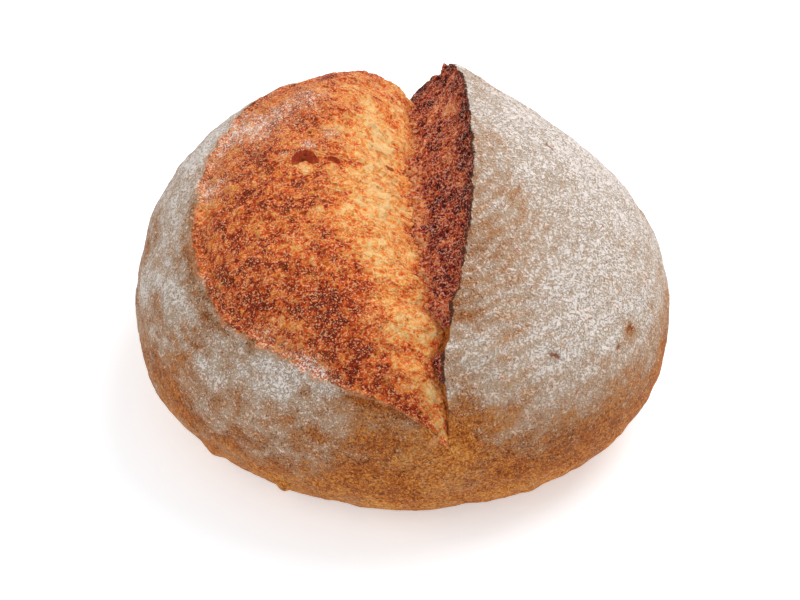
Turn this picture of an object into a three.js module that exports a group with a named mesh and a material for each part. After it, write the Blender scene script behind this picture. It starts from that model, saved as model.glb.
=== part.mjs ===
// A round sourdough loaf, baked as one piece: a low boule with one long score from front to back. Right of
// the score the crust lifted into an ear, whose torn face drops into a trough. Left of it the bloom swelled
// out of the opening, as far as the lip of the floured crust. Units are millimetres, +Z is up, the loaf rests
// on Z = 0, +Y is its back, and the origin is under the middle of its bounding box.
import * as THREE from "three";
import { mergeVertices } from "three/addons/utils/BufferGeometryUtils.js";

// The body is a flattened ball about a centre at the height of its belly, its widest line.
const HALF_WIDTH = 108; // along X
const HALF_DEPTH = 99.9; // along Y
const BELLY_HEIGHT = 43;
const CROWN_RISE = 69.8; // from the belly to the top of the dome
const KEEL_DROP = 68; // from the belly to the ball's lowest point, before the oven floor flattens it
const FULLNESS = 2.25; // 2 is an ellipsoid, more is squarer at the shoulder
const FLOOR_BLEND = 16; // how gently the flank turns into the flat base

// How far the plan strays from its ellipse: waves per turn, and their cosine and sine shares of the radius.
const PLAN_WAVES = [
  [2, 0, -0.038],
  [3, 0.014, -0.029],
  [4, 0.0055, 0.003],
  [5, 0.0035, 0.001],
  [6, -0.005, 0.005],
];

// Stations along the score, from its front end to its back end. station and the angles are in degrees:
// station is counted from the front pole to the back pole, and ear and lip about the front-to-back axis,
// from the right-hand side over the top. face is how wide the torn face is, lift how far the ear's edge
// stands above the dome, depth how far the trough lies below it, and swell how far the bloom bulges.
const STATIONS = [
  { station: 14, ear: 34, face: 0.5, lift: 0, depth: 0, lip: 40, swell: 0 },
  { station: 20, ear: 52.5, face: 0.6, lift: 0.3, depth: 3.5, lip: 86, swell: 0 },
  { station: 28, ear: 66.5, face: 1, lift: 1, depth: 6.5, lip: 124, swell: 0 },
  { station: 38, ear: 69.5, face: 3, lift: 2, depth: 9.5, lip: 137, swell: 0.5 },
  { station: 54, ear: 69, face: 13.5, lift: 4.5, depth: 13.5, lip: 146.5, swell: 1 },
  { station: 74, ear: 68, face: 19.5, lift: 7, depth: 17, lip: 148.5, swell: 1.5 },
  { station: 98, ear: 67, face: 24, lift: 8, depth: 19.5, lip: 148, swell: 2 },
  { station: 124, ear: 66, face: 22, lift: 7, depth: 21.5, lip: 143.5, swell: 4 },
  { station: 148, ear: 63.5, face: 16, lift: 5.5, depth: 20.5, lip: 134, swell: 4.5 },
  { station: 162, ear: 60, face: 9, lift: 3.5, depth: 15, lip: 122, swell: 6 },
  { station: 171, ear: 57, face: 3, lift: 1, depth: 7, lip: 98, swell: 1 },
  { station: 177, ear: 56, face: 0.5, lift: 0, depth: 0, lip: 60, swell: 0 },
];

const EAR_REACH = 29; // how far to the right the crust is lifted
const EAR_POWER = 1.2;
const TEAR_POWER = 1.5; // above 1 the torn face is steepest just under the ear's edge
const BLOOM_REACH = 20.5; // how far to the left the bloom slopes up out of the trough
const BLOOM_POWER = 1.36;
const LIP_STEP = 2; // the bloom meets the lip this far below it
const LIP_STEP_REACH = 14;
const LIP_CURL = 0.8; // the lip curls up by this much
const LIP_CURL_REACH = 7;
const LIP_FADE = 60; // the lip fades out where the bloom is narrower than this

// The surface's mesh: rings from front to back, closer together towards both ends, and columns round the
// loaf in four bands that meet at the base's middle line, the ear's edge, the trough and the lip.
const RINGS = 56;
const RING_CROWDING = 0.09;
const BANDS = [
  { from: "base", to: "ear", columns: 24 },
  { from: "ear", to: "trough", columns: 6 },
  { from: "trough", to: "lip", columns: 18 },
  { from: "lip", to: "round", columns: 20 },
];
const BASE_ANGLE = -90;

const radians = THREE.MathUtils.degToRad;

// A smooth curve through the stations' values of one key, level at both ends.
function alongScore(key, station) {
  const last = STATIONS.length - 1;
  const at = THREE.MathUtils.clamp(station, STATIONS[0].station, STATIONS[last].station);
  const i = Math.max(0, STATIONS.findIndex((s) => s.station >= at) - 1);
  const slope = (k) =>
    k <= 0 || k >= last
      ? 0
      : (STATIONS[k + 1][key] - STATIONS[k - 1][key]) / (STATIONS[k + 1].station - STATIONS[k - 1].station);
  const step = STATIONS[i + 1].station - STATIONS[i].station;
  const t = (at - STATIONS[i].station) / step;
  return (
    (2 * t ** 3 - 3 * t ** 2 + 1) * STATIONS[i][key] +
    (t ** 3 - 2 * t ** 2 + t) * step * slope(i) +
    (3 * t ** 2 - 2 * t ** 3) * STATIONS[i + 1][key] +
    (t ** 3 - t ** 2) * step * slope(i + 1)
  );
}

// The larger of two heights, with a rounded corner of the given size between them.
function softMax(a, b, size) {
  const near = Math.max(size - Math.abs(a - b), 0) / size;
  return Math.max(a, b) + (near * near * size) / 4;
}

// A point of the plain body and its outward normal, about the centre at belly height.
function body(polar, around) {
  const d = new THREE.Vector3(
    Math.sin(polar) * Math.cos(around),
    -Math.cos(polar),
    Math.sin(polar) * Math.sin(around),
  );
  const reach = d.z > 0 ? CROWN_RISE : KEEL_DROP;
  const level = Math.hypot(d.x / HALF_WIDTH, d.y / HALF_DEPTH) ** FULLNESS;
  const point = d.clone().multiplyScalar((level + (Math.abs(d.z) / reach) ** FULLNESS) ** (-1 / FULLNESS));
  const share = Math.max(Math.hypot(point.x / HALF_WIDTH, point.y / HALF_DEPTH), 1e-6);
  const normal = new THREE.Vector3(
    (share ** (FULLNESS - 2) * point.x) / HALF_WIDTH ** 2,
    (share ** (FULLNESS - 2) * point.y) / HALF_DEPTH ** 2,
    (Math.sign(point.z) * (Math.abs(point.z) / reach) ** (FULLNESS - 1)) / reach,
  ).normalize();
  const heading = Math.atan2(d.y, d.x);
  const wave = PLAN_WAVES.reduce(
    (sum, [turns, cosine, sine]) =>
      sum + cosine * Math.cos(turns * heading) + sine * Math.sin(turns * heading),
    0,
  );
  point.x *= 1 + wave * Math.min(share, 1);
  point.y *= 1 + wave * Math.min(share, 1);
  return { point, normal };
}

// How far the surface stands off the body at a distance to the right of the ear's edge (negative: left).
function relief(right, score, bloomWidth) {
  if (right >= 0) return score.lift * Math.exp(-((right / EAR_REACH) ** EAR_POWER));
  const left = -right - score.face; // distance to the left of the trough
  if (left < 0) {
    const down = 1 - (1 - Math.min(-right / score.face, 1)) ** TEAR_POWER;
    return score.lift - (score.lift + score.depth) * down;
  }
  const trough = -score.depth * Math.exp(-((left / BLOOM_REACH) ** BLOOM_POWER));
  const pastLip = left - bloomWidth;
  const share = THREE.MathUtils.clamp(bloomWidth / LIP_FADE, 0, 1);
  if (pastLip >= 0) return trough + share * LIP_CURL * Math.exp(-pastLip / LIP_CURL_REACH);
  const across = left / bloomWidth;
  const bulge = score.swell * 4 * across * (1 - across);
  return trough + bulge - share * LIP_STEP * Math.exp(pastLip / LIP_STEP_REACH);
}

// The score's values at a ring, with its angles in radians.
function scoreAt(polar) {
  const value = (key) => alongScore(key, THREE.MathUtils.radToDeg(polar));
  return {
    ear: radians(value("ear")),
    lip: radians(value("lip")),
    face: value("face"),
    lift: value("lift"),
    depth: value("depth"),
    swell: value("swell"),
  };
}

// The distance from the front-to-back axis to the body at the given angle of a ring.
function ringRadius(polar, around) {
  const { point } = body(polar, around);
  return Math.hypot(point.x, point.z);
}

// A point of the finished loaf.
function surface(polar, around, score) {
  const { point, normal } = body(polar, around);
  const radius = Math.hypot(point.x, point.z);
  const bloomWidth = (score.lip - score.ear) * radius - score.face;
  point.addScaledVector(normal, relief((score.ear - around) * radius, score, bloomWidth));
  point.z = softMax(point.z + BELLY_HEIGHT, 0, FLOOR_BLEND);
  return point;
}

// The polar angle of a ring, from 0 at the front pole to 1 at the back pole.
function ringPolar(way) {
  return Math.PI * (way - RING_CROWDING * Math.sin(2 * Math.PI * way));
}

// The angle of a column, from 0 to 1 round the ring, with columns lying along the ear, trough and lip.
function columnAngle(turn, polar, score) {
  const trough = score.ear + score.face / Math.max(ringRadius(polar, score.ear), score.face * 4);
  const places = {
    base: radians(BASE_ANGLE),
    ear: score.ear,
    trough,
    lip: Math.max(score.lip, trough + radians(4)),
    round: radians(BASE_ANGLE + 360),
  };
  let column = turn * COLUMNS;
  for (const band of BANDS) {
    if (column <= band.columns)
      return THREE.MathUtils.lerp(places[band.from], places[band.to], column / band.columns);
    column -= band.columns;
  }
  return places.round;
}

const COLUMNS = BANDS.reduce((sum, band) => sum + band.columns, 0);

// A sphere whose poles lie at the front and the back, each vertex moved to its place on the loaf.
function loafGeometry() {
  const geometry = new THREE.SphereGeometry(1, COLUMNS, RINGS);
  const position = geometry.getAttribute("position");
  const turns = geometry.getAttribute("uv");
  for (let i = 0; i < position.count; i++) {
    const ring = Math.round((1 - turns.getY(i)) * RINGS);
    const column = Math.round(turns.getX(i) * COLUMNS);
    const atPole = ring === 0 || ring === RINGS;
    const polar = ringPolar(ring / RINGS);
    const score = scoreAt(polar);
    const around = atPole ? 0 : columnAngle((column % COLUMNS) / COLUMNS, polar, score);
    const point = surface(polar, around, score);
    position.setXYZ(i, point.x, point.y, point.z);
  }
  geometry.deleteAttribute("normal");
  geometry.deleteAttribute("uv");
  const loaf = mergeVertices(geometry, 1e-3);
  loaf.computeBoundingBox();
  const middle = loaf.boundingBox.getCenter(new THREE.Vector3());
  loaf.translate(-middle.x, -middle.y, 0);
  loaf.computeVertexNormals();
  return loaf;
}

const crust = new THREE.MeshStandardMaterial({ color: 0xc59a6c, roughness: 0.85, metalness: 0 });

const loaf = new THREE.Mesh(loafGeometry(), crust);
loaf.name = "sourdough_loaf";

const sourdough = new THREE.Group();
sourdough.add(loaf);

export default sourdough;
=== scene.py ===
"""A round sourdough loaf, made to be seen: floured crust, a lifted ear and an open, bulging bloom.

The loaf is one baked piece. Its form is the frame's own, worked out again at a far finer grain: a
flattened ball whose poles are the front and the back end of the score. The surface is then roughened as
dough and fire do it, and its zones are written on the mesh, so that one crust recipe can tell floured
skin from torn crumb. Everything is in metres.
"""

import logging
import math
from dataclasses import dataclass, replace
from enum import Enum
from functools import partial, reduce

import bpy
import numpy as np
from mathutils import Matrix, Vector, noise


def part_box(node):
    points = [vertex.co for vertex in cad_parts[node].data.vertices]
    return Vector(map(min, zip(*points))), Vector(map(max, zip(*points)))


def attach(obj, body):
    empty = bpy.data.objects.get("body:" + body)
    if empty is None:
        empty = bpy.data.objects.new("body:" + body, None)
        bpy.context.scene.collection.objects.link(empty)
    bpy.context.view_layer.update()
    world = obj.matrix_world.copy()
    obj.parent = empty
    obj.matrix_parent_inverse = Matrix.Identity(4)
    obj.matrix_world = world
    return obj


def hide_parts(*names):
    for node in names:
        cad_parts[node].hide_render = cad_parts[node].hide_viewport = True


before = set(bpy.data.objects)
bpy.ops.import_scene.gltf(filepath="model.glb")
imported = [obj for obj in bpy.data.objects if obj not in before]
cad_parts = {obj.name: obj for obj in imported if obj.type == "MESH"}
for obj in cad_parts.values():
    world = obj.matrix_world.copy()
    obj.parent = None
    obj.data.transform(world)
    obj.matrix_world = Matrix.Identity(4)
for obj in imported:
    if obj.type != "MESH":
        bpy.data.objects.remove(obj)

LOG = logging.getLogger("sourdough")
LOAF_NODE = "sourdough_loaf"
TINY = 0.000001
LEAST_WEIGHT = 0.02

Array = np.ndarray
Rgba = tuple[float, float, float, float]
Socket = bpy.types.NodeSocket


# ---------------------------------------------------------------- the form


@dataclass(frozen=True)
class Station:
    """The score's measures at one place along the loaf.

    Angles are in degrees: station from the front pole to the back pole, ear and lip about the
    front-to-back axis, from the right-hand side over the top. The other measures are in metres: how
    wide the torn face is, how far the ear's edge stands above the dome, how far the trough lies
    below it, and how far the bloom bulges.
    """

    station: float
    ear: float
    face: float
    lift: float
    depth: float
    lip: float
    swell: float


@dataclass(frozen=True)
class PlanWave:
    """One way in which the plan strays from its ellipse, as shares of the radius."""

    turns: int
    cosine: float
    sine: float

    def at(self, heading: Array) -> Array:
        """How far the plan strays at each heading from the middle."""
        return self.cosine * np.cos(self.turns * heading) + self.sine * np.sin(self.turns * heading)


@dataclass(frozen=True)
class Score:
    """The score's measures at many places: angles in radians, lengths in metres."""

    ear: Array
    face: Array
    lift: Array
    depth: Array
    lip: Array
    swell: Array

    def pick(self, index: Array) -> "Score":
        """The measures at the places that index names."""
        return Score(*(measure[index] for measure in astuple_arrays(self)))


@dataclass(frozen=True)
class Chart:
    """Where points lie across the score, in metres.

    right is the distance to the right of the ear's edge, left the distance to the left of the
    trough, and past_lip the distance beyond the lip, each negative on the other side. bloom_width
    is the distance from the trough to the lip.
    """

    right: Array
    left: Array
    past_lip: Array
    bloom_width: Array


def astuple_arrays(score: Score) -> tuple[Array, ...]:
    """The arrays of a score, in the order of its fields."""
    return (score.ear, score.face, score.lift, score.depth, score.lip, score.swell)


def smooth_step(value: Array, low: float, high: float) -> Array:
    """Rises smoothly from 0 at low to 1 at high.

    Args:
        value: The numbers to judge.
        low: Where the rise starts.
        high: Where it ends; it may lie below low, and then the step falls.

    Returns:
        Numbers from 0 to 1.
    """
    share = np.clip((value - low) / (high - low), 0, 1)
    return share * share * (3 - 2 * share)


def bump(value: Array, width: float) -> Array:
    """A bell of height 1 and the given half width, round 0."""
    return np.exp(-((value / width) ** 2))


@dataclass(frozen=True)
class Rise:
    """A smooth change of a value by amount, between two places. It may run backwards."""

    amount: float
    start: float
    end: float

    def at(self, value: Array) -> Array:
        """How much of the change there is at each value."""
        return self.amount * smooth_step(value, self.start, self.end)


@dataclass(frozen=True)
class Bell:
    """A change of a value by amount round one place, with the given half width."""

    amount: float
    middle: float
    width: float

    def at(self, value: Array) -> Array:
        """How much of the change there is at each value."""
        return self.amount * bump(value - self.middle, self.width)


def ragged(way: Array, size: float, seed: float) -> Array:
    """A wavering line, from about -1 to 1.

    Args:
        way: Distances along the line, in metres.
        size: How long one waver is, in metres.
        seed: Which line this is.

    Returns:
        The line's height at each distance.
    """
    return np.array([noise.noise(Vector((w / size, seed, 0.5))) for w in way]) * 2


@dataclass(frozen=True)
class Waver:
    """One wavering of a line: how long a waver is, how far it strays, and which line it is."""

    size: float
    stray: float
    seed: float

    def at(self, way: Array) -> Array:
        """How far the line strays at each distance along it."""
        return self.stray * ragged(way, self.size, self.seed)


@dataclass(frozen=True)
class LoafForm:
    """The loaf's form as the frame has it, with the wander of a real torn edge."""

    half_width: float = 0.108
    half_depth: float = 0.0999
    belly_height: float = 0.043
    crown_rise: float = 0.0698
    keel_drop: float = 0.068
    fullness: float = 2.25
    floor_blend: float = 0.016
    ear_reach: float = 0.029
    ear_power: float = 1.2
    tear_power: float = 1.5
    bloom_reach: float = 0.0205
    bloom_power: float = 1.36
    lip_step: float = 0.002
    lip_step_reach: float = 0.014
    lip_curl: float = 0.0008
    lip_curl_reach: float = 0.007
    lip_fade: float = 0.060
    lip_round: float = 0.0032
    radius: float = 0.1
    least_girth: float = 0.15
    least_face: float = 0.0004
    opening: Rise = Rise(1, 0.001, 0.008)
    edge_wavers: tuple[Waver, ...] = (Waver(0.009, 0.00050, 1), Waver(0.0035, 0.00025, 2))
    lip_wavers: tuple[Waver, ...] = (
        Waver(0.017, 0.0016, 3),
        Waver(0.006, 0.0008, 4),
        Waver(0.0025, 0.0004, 8),
    )
    face_wavers: tuple[Waver, ...] = (Waver(0.012, 0.0022, 5), Waver(0.0045, 0.0010, 9))
    lift_waver: Waver = Waver(0.009, 0.0005, 6)
    back_jags: Waver = Waver(0.0045, 0.0006, 7)
    back_end: Rise = Rise(1, 0.17, 0.26)
    plan_waves: tuple[PlanWave, ...] = (
        PlanWave(2, 0.0, -0.038),
        PlanWave(3, 0.014, -0.029),
        PlanWave(4, 0.0055, 0.003),
        PlanWave(5, 0.0035, 0.001),
        PlanWave(6, -0.005, 0.005),
    )
    stations: tuple[Station, ...] = (
        Station(14, 34, 0.0005, 0.0, 0.0, 50, 0.0),
        Station(17, 46, 0.0005, 0.0002, 0.0014, 77, 0.0),
        Station(20, 54, 0.0006, 0.0003, 0.0030, 96, 0.0),
        Station(28, 66.5, 0.001, 0.001, 0.0058, 124, 0.0),
        Station(38, 69.5, 0.003, 0.002, 0.0095, 137, 0.0005),
        Station(54, 69, 0.0135, 0.0045, 0.0135, 146.5, 0.001),
        Station(74, 68, 0.0195, 0.007, 0.017, 148.5, 0.0015),
        Station(98, 67, 0.024, 0.008, 0.0195, 148, 0.002),
        Station(124, 66, 0.022, 0.007, 0.0215, 143.5, 0.004),
        Station(148, 63.5, 0.016, 0.0055, 0.0205, 134, 0.0045),
        Station(162, 60, 0.009, 0.0035, 0.015, 122, 0.006),
        Station(171, 57, 0.003, 0.001, 0.007, 98, 0.001),
        Station(177, 56, 0.0005, 0.0, 0.0, 60, 0.0),
    )

    def along(self, name: str, polar: Array) -> Array:
        """A smooth curve through one measure of the stations, level at both ends.

        Args:
            name: The measure's field.
            polar: Angles from the front pole, in radians.

        Returns:
            The measure at those angles, in the stations' units.
        """
        knots = np.array([s.station for s in self.stations], float)
        values = np.array([getattr(s, name) for s in self.stations], float)
        slopes = np.zeros(len(knots))
        slopes[1:-1] = (values[2:] - values[:-2]) / (knots[2:] - knots[:-2])
        at = np.clip(np.degrees(polar), knots[0], knots[-1])
        i = np.clip(np.searchsorted(knots, at) - 1, 0, len(knots) - 2)
        step = knots[i + 1] - knots[i]
        t = (at - knots[i]) / step
        start = (2 * t**3 - 3 * t**2 + 1) * values[i] + (t**3 - 2 * t**2 + t) * step * slopes[i]
        end = (3 * t**2 - 2 * t**3) * values[i + 1] + (t**3 - t**2) * step * slopes[i + 1]
        return start + end

    def score(self, polar: Array, wander: float = 1.0) -> Score:
        """The score's measures, with edges that waver as torn dough does.

        Args:
            polar: Angles from the front pole, in radians.
            wander: How much of the wavering there is, from 0 to 1.

        Returns:
            The measures at those angles.
        """
        way = polar * self.radius
        girth = self.radius * np.maximum(np.sin(polar), self.least_girth)
        open_score = self.opening.at(self.along("depth", polar)) * wander
        edge = sum(waver.at(way) for waver in self.edge_wavers)
        lip = sum(waver.at(way) for waver in self.lip_wavers)
        width = sum(waver.at(way) for waver in self.face_wavers)
        jag = self.lift_waver.at(way) + self.back_jags.at(way) * self.back_end.at(way)
        return Score(
            ear=np.radians(self.along("ear", polar)) + edge / girth * open_score,
            face=np.maximum(self.along("face", polar) + width * open_score, self.least_face),
            lift=self.along("lift", polar) + jag * open_score,
            depth=self.along("depth", polar),
            lip=np.radians(self.along("lip", polar)) + lip / girth * open_score,
            swell=self.along("swell", polar),
        )

    def body(self, polar: Array, around: Array) -> tuple[Array, Array]:
        """The plain body, before the score opened.

        Args:
            polar: Angles from the front pole, in radians.
            around: Angles about the front-to-back axis, in radians.

        Returns:
            Points about the centre at belly height, and outward normals.
        """
        x = np.sin(polar) * np.cos(around)
        y = -np.cos(polar)
        z = np.sin(polar) * np.sin(around)
        rise = np.where(z > 0, self.crown_rise, self.keel_drop)
        level = np.hypot(x / self.half_width, y / self.half_depth) ** self.fullness
        size = (level + (np.abs(z) / rise) ** self.fullness) ** (-1 / self.fullness)
        point = np.stack([x * size, y * size, z * size], -1)
        share = np.maximum(np.hypot(point[:, 0] / self.half_width, point[:, 1] / self.half_depth), TINY)
        slant = share ** (self.fullness - 2)
        height = (np.abs(point[:, 2]) / rise) ** (self.fullness - 1) / rise
        normal = np.stack(
            [
                slant * point[:, 0] / self.half_width**2,
                slant * point[:, 1] / self.half_depth**2,
                np.sign(point[:, 2]) * height,
            ],
            -1,
        )
        normal /= np.linalg.norm(normal, axis=-1, keepdims=True)
        heading = np.arctan2(y, x)
        stray = sum(wave.at(heading) for wave in self.plan_waves)
        point[:, :2] *= (1 + stray * np.minimum(share, 1))[:, None]
        return point, normal

    def chart(self, point: Array, around: Array, score: Score) -> Chart:
        """Where points of the body lie across the score.

        Args:
            point: Points of the plain body.
            around: Their angles about the front-to-back axis.
            score: The score's measures at those points.

        Returns:
            Their distances from the ear's edge, the trough and the lip.
        """
        ring = np.hypot(point[:, 0], point[:, 2])
        right = (score.ear - around) * ring
        left = -right - score.face
        bloom_width = (score.lip - score.ear) * ring - score.face
        return Chart(right, left, left - bloom_width, bloom_width)

    def relief(self, chart: Chart, score: Score) -> Array:
        """How far the surface stands off the plain body, in metres.

        Args:
            chart: Where the points lie across the score.
            score: The score's measures there.

        Returns:
            The height of each point above the body.
        """
        ear = score.lift * np.exp(-((np.maximum(chart.right, 0) / self.ear_reach) ** self.ear_power))
        down = 1 - (1 - np.clip(-chart.right / score.face, 0, 1)) ** self.tear_power
        torn = score.lift - (score.lift + score.depth) * down
        slope = np.exp(-((np.maximum(chart.left, 0) / self.bloom_reach) ** self.bloom_power))
        trough = -score.depth * slope
        share = np.clip(chart.bloom_width / self.lip_fade, 0, 1)
        across = np.clip(chart.left / np.maximum(chart.bloom_width, TINY), 0, 1)
        bulge = score.swell * 4 * across * (1 - across)
        step = share * self.lip_step * np.exp(np.minimum(chart.past_lip, 0) / self.lip_step_reach)
        step *= smooth_step(chart.past_lip, 0.0, -self.lip_round)
        curl = share * self.lip_curl * np.exp(-np.maximum(chart.past_lip, 0) / self.lip_curl_reach)
        curl *= np.exp(np.minimum(chart.past_lip, 0) / (0.5 * self.lip_round))
        opened = trough + curl + np.where(chart.past_lip < 0, bulge - step, 0)
        return np.where(chart.right >= 0, ear, np.where(chart.left < 0, torn, opened))

    def rest(self, height: Array) -> Array:
        """Heights above the surface that the loaf rests on, flattened where it meets it."""
        near = np.maximum(self.floor_blend - np.abs(height), 0) / self.floor_blend
        return np.maximum(height, 0) + near**2 * self.floor_blend / 4

    def surface(self, polar: Array, around: Array, score: Score) -> tuple[Array, Chart]:
        """The finished form.

        Args:
            polar: Angles from the front pole, in radians.
            around: Angles about the front-to-back axis, in radians.
            score: The score's measures at those points.

        Returns:
            Points that rest on a height of 0, and where they lie across the score.
        """
        point, normal = self.body(polar, around)
        chart = self.chart(point, around, score)
        point += normal * self.relief(chart, score)[:, None]
        point[:, 2] = self.rest(point[:, 2] + self.belly_height)
        return point, chart


# ---------------------------------------------------------------- marks of dough and oven


class MarkKind(Enum):
    """What a mark in the crust is."""

    BURST = "burst bubble"
    SCAR = "torn scar"
    BLISTER = "blister"


@dataclass(frozen=True)
class MarkEdges:
    """The outlines that every mark of a kind shares, in shares of its half sizes.

    A burst bubble is deepest at one end: tilt is how deep it is in the middle, slope how fast it
    deepens along the mark, and least how shallow it may get. Its back wall, under the overhang, is
    painted dark as shade in a crescent: what is left of the mark when a second outline, moved along
    and a little wider, is taken from it.
    """

    inside: Rise = Rise(1, 1.0, 0.55)
    swelling: Rise = Rise(1, 1.3, 0.0)
    scar_rim: Bell = Bell(0.0003, 1.25, 0.25)
    burst_rim: Bell = Bell(0.0010, 1.2, 0.28)
    rim_side: Rise = Rise(1, 0, 1)
    tilt: float = 0.55
    slope: float = 0.6
    least: float = 0.1
    crescent_shift: float = 0.60
    crescent_width: float = 1.04
    crescent: Rise = Rise(1, 0.86, 1.06)
    wall_end: Rise = Rise(1, 1.10, 0.92)


EDGES = MarkEdges()


@dataclass(frozen=True)
class Mark:
    """One mark in the crust, with its place on the form.

    station and around are its place in degrees, along and across its half sizes in metres, depth
    how far it goes in (or stands out, for a blister), turn its angle in the surface in degrees, and
    thickness how far off the surface it still reaches.
    """

    name: str
    kind: MarkKind
    station: float
    around: float
    along: float
    across: float
    depth: float
    turn: float = 0.0
    thickness: float = 0.012

    def shape(self, along: Array, across: Array, away: Array) -> tuple[Array, Array]:
        """The mark's own shape.

        Args:
            along: Places along the mark, as shares of its half length.
            across: Places across it, as shares of its half width.
            away: Distances from its middle, as shares of its half sizes.

        Returns:
            Heights in metres, and from 0 to 1 the crust's marking: a scar's bared crumb, and a burst
            bubble's back wall painted dark as shade.
        """
        inside = EDGES.inside.at(away)
        if self.kind is MarkKind.BLISTER:
            return self.depth * EDGES.swelling.at(away), np.zeros(len(away))
        if self.kind is MarkKind.SCAR:
            return EDGES.scar_rim.at(away) - self.depth * inside, inside
        tilt = np.clip(EDGES.tilt + EDGES.slope * along, EDGES.least, 1)
        rim = EDGES.burst_rim.at(away) * EDGES.rim_side.at(along)
        # The back wall's crescent, which the crust paints dark as shade under the overhang.
        hollow = np.hypot(along + EDGES.crescent_shift, across / EDGES.crescent_width)
        shaded_wall = EDGES.crescent.at(hollow) * EDGES.wall_end.at(away)
        return rim - self.depth * inside * tilt, shaded_wall


@dataclass(frozen=True)
class Spot:
    """A soft spot round a place on the form, which is given in degrees, with its reach in metres.

    In the oven's list an amount above 0 is a darker place. In the flour's list it is a whiter one,
    and below 0 a place where the flour was rubbed off.
    """

    station: float
    around: float
    reach: float
    amount: float


MARKS = (
    Mark("large_burst", MarkKind.BURST, 95.0, 118.6, 0.0054, 0.0054, 0.0040, 8),
    Mark("small_burst", MarkKind.BURST, 96.0, 110.2, 0.0018, 0.0028, 0.0012, -10),
    Mark("burst_by_trough", MarkKind.BURST, 104.2, 92.0, 0.0016, 0.0034, 0.0018, 0),
    Mark("scar_high", MarkKind.SCAR, 104.2, 43.8, 0.0030, 0.0014, 0.0009, 35),
    Mark("scar_at_shoulder", MarkKind.SCAR, 109.2, 27.8, 0.0011, 0.0034, 0.0016, 25),
    Mark("tear_on_flank", MarkKind.SCAR, 62.6, 20.2, 0.0026, 0.0018, 0.0010, 10),
    Mark("crease_on_flank", MarkKind.SCAR, 58.0, 20.0, 0.0040, 0.0007, 0.0008, -20),
    Mark("crease_by_curl", MarkKind.SCAR, 46.0, 34.0, 0.0010, 0.0036, 0.0008, 20),
    Mark("curl", MarkKind.BLISTER, 47.5, 36.0, 0.0022, 0.0050, 0.0009, 20),
    Mark("blister_left", MarkKind.BLISTER, 60.0, 168.0, 0.0040, 0.0050, 0.0010, 0),
    Mark("blister_front", MarkKind.BLISTER, 26.0, -10.0, 0.0060, 0.0045, 0.0010, 0),
    Mark("blister_right", MarkKind.BLISTER, 80.0, 8.0, 0.0050, 0.0040, 0.0009, 0),
    Mark("blister_back", MarkKind.BLISTER, 140.0, 20.0, 0.0050, 0.0060, 0.0011, 0),
    Mark("scar_back", MarkKind.SCAR, 135.0, 165.0, 0.0030, 0.0013, 0.0010, 15),
    Mark("tail_of_lip", MarkKind.BLISTER, 15.4, 38.0, 0.0020, 0.0090, 0.0012, -8),
    Mark("skirt_lump_left", MarkKind.BLISTER, 31.0, 207.0, 0.0045, 0.0040, 0.0030, 0),
    Mark("skirt_lump_far_left", MarkKind.BLISTER, 52.0, 201.0, 0.0060, 0.0050, 0.0018, 0),
    Mark("skirt_lump_front", MarkKind.BLISTER, 9.0, -60.0, 0.0050, 0.0070, 0.0016, 0),
    Mark("skirt_lump_back", MarkKind.BLISTER, 125.0, 200.0, 0.0060, 0.0050, 0.0020, 0),
)

OVEN_SPOTS = (
    Spot(47.4, 114.6, 0.012, 0.26),
    Spot(40.0, 116.0, 0.011, 0.22),
    Spot(29.0, 112.0, 0.009, 0.16),
    Spot(59.6, 139.8, 0.014, 0.14),
    Spot(74.6, 119.8, 0.010, 0.06),
    Spot(64.0, 132.0, 0.010, 0.16),
    Spot(109.6, 126.0, 0.016, 0.06),
    Spot(118.6, 112.6, 0.011, 0.10),
    Spot(71.4, 99.2, 0.0035, 0.35),
    Spot(75.0, 84.0, 0.004, 0.30),
    Spot(50.0, 86.0, 0.007, 0.25),
    Spot(60.0, 110.0, 0.010, 0.12),
    Spot(93.2, 118.2, 0.0050, -0.42),
    Spot(66.0, 124.8, 0.008, -0.16),
    Spot(77.8, 104.0, 0.014, -0.18),
    Spot(112.0, 98.0, 0.018, -0.12),
    Spot(84.0, 92.0, 0.010, -0.14),
    Spot(22.0, 76.0, 0.013, 0.02),
    Spot(130.0, 71.6, 0.0085, -0.50),
    Spot(11.0, 40.0, 0.013, -0.10),
    Spot(12.0, 0.0, 0.012, -0.12),
    Spot(18.0, 51.0, 0.0022, 0.34),
    Spot(21.5, 57.0, 0.0022, 0.30),
    Spot(25.5, 62.0, 0.0022, 0.26),
    Spot(32.0, 2.0, 0.024, 0.05),
    Spot(14.7, 57.7, 0.004, -0.16),
    Spot(15.6, 34.9, 0.004, -0.22),
    Spot(16.8, 20.5, 0.004, -0.22),
    Spot(26.0, 48.0, 0.010, 0.16),
)

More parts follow.
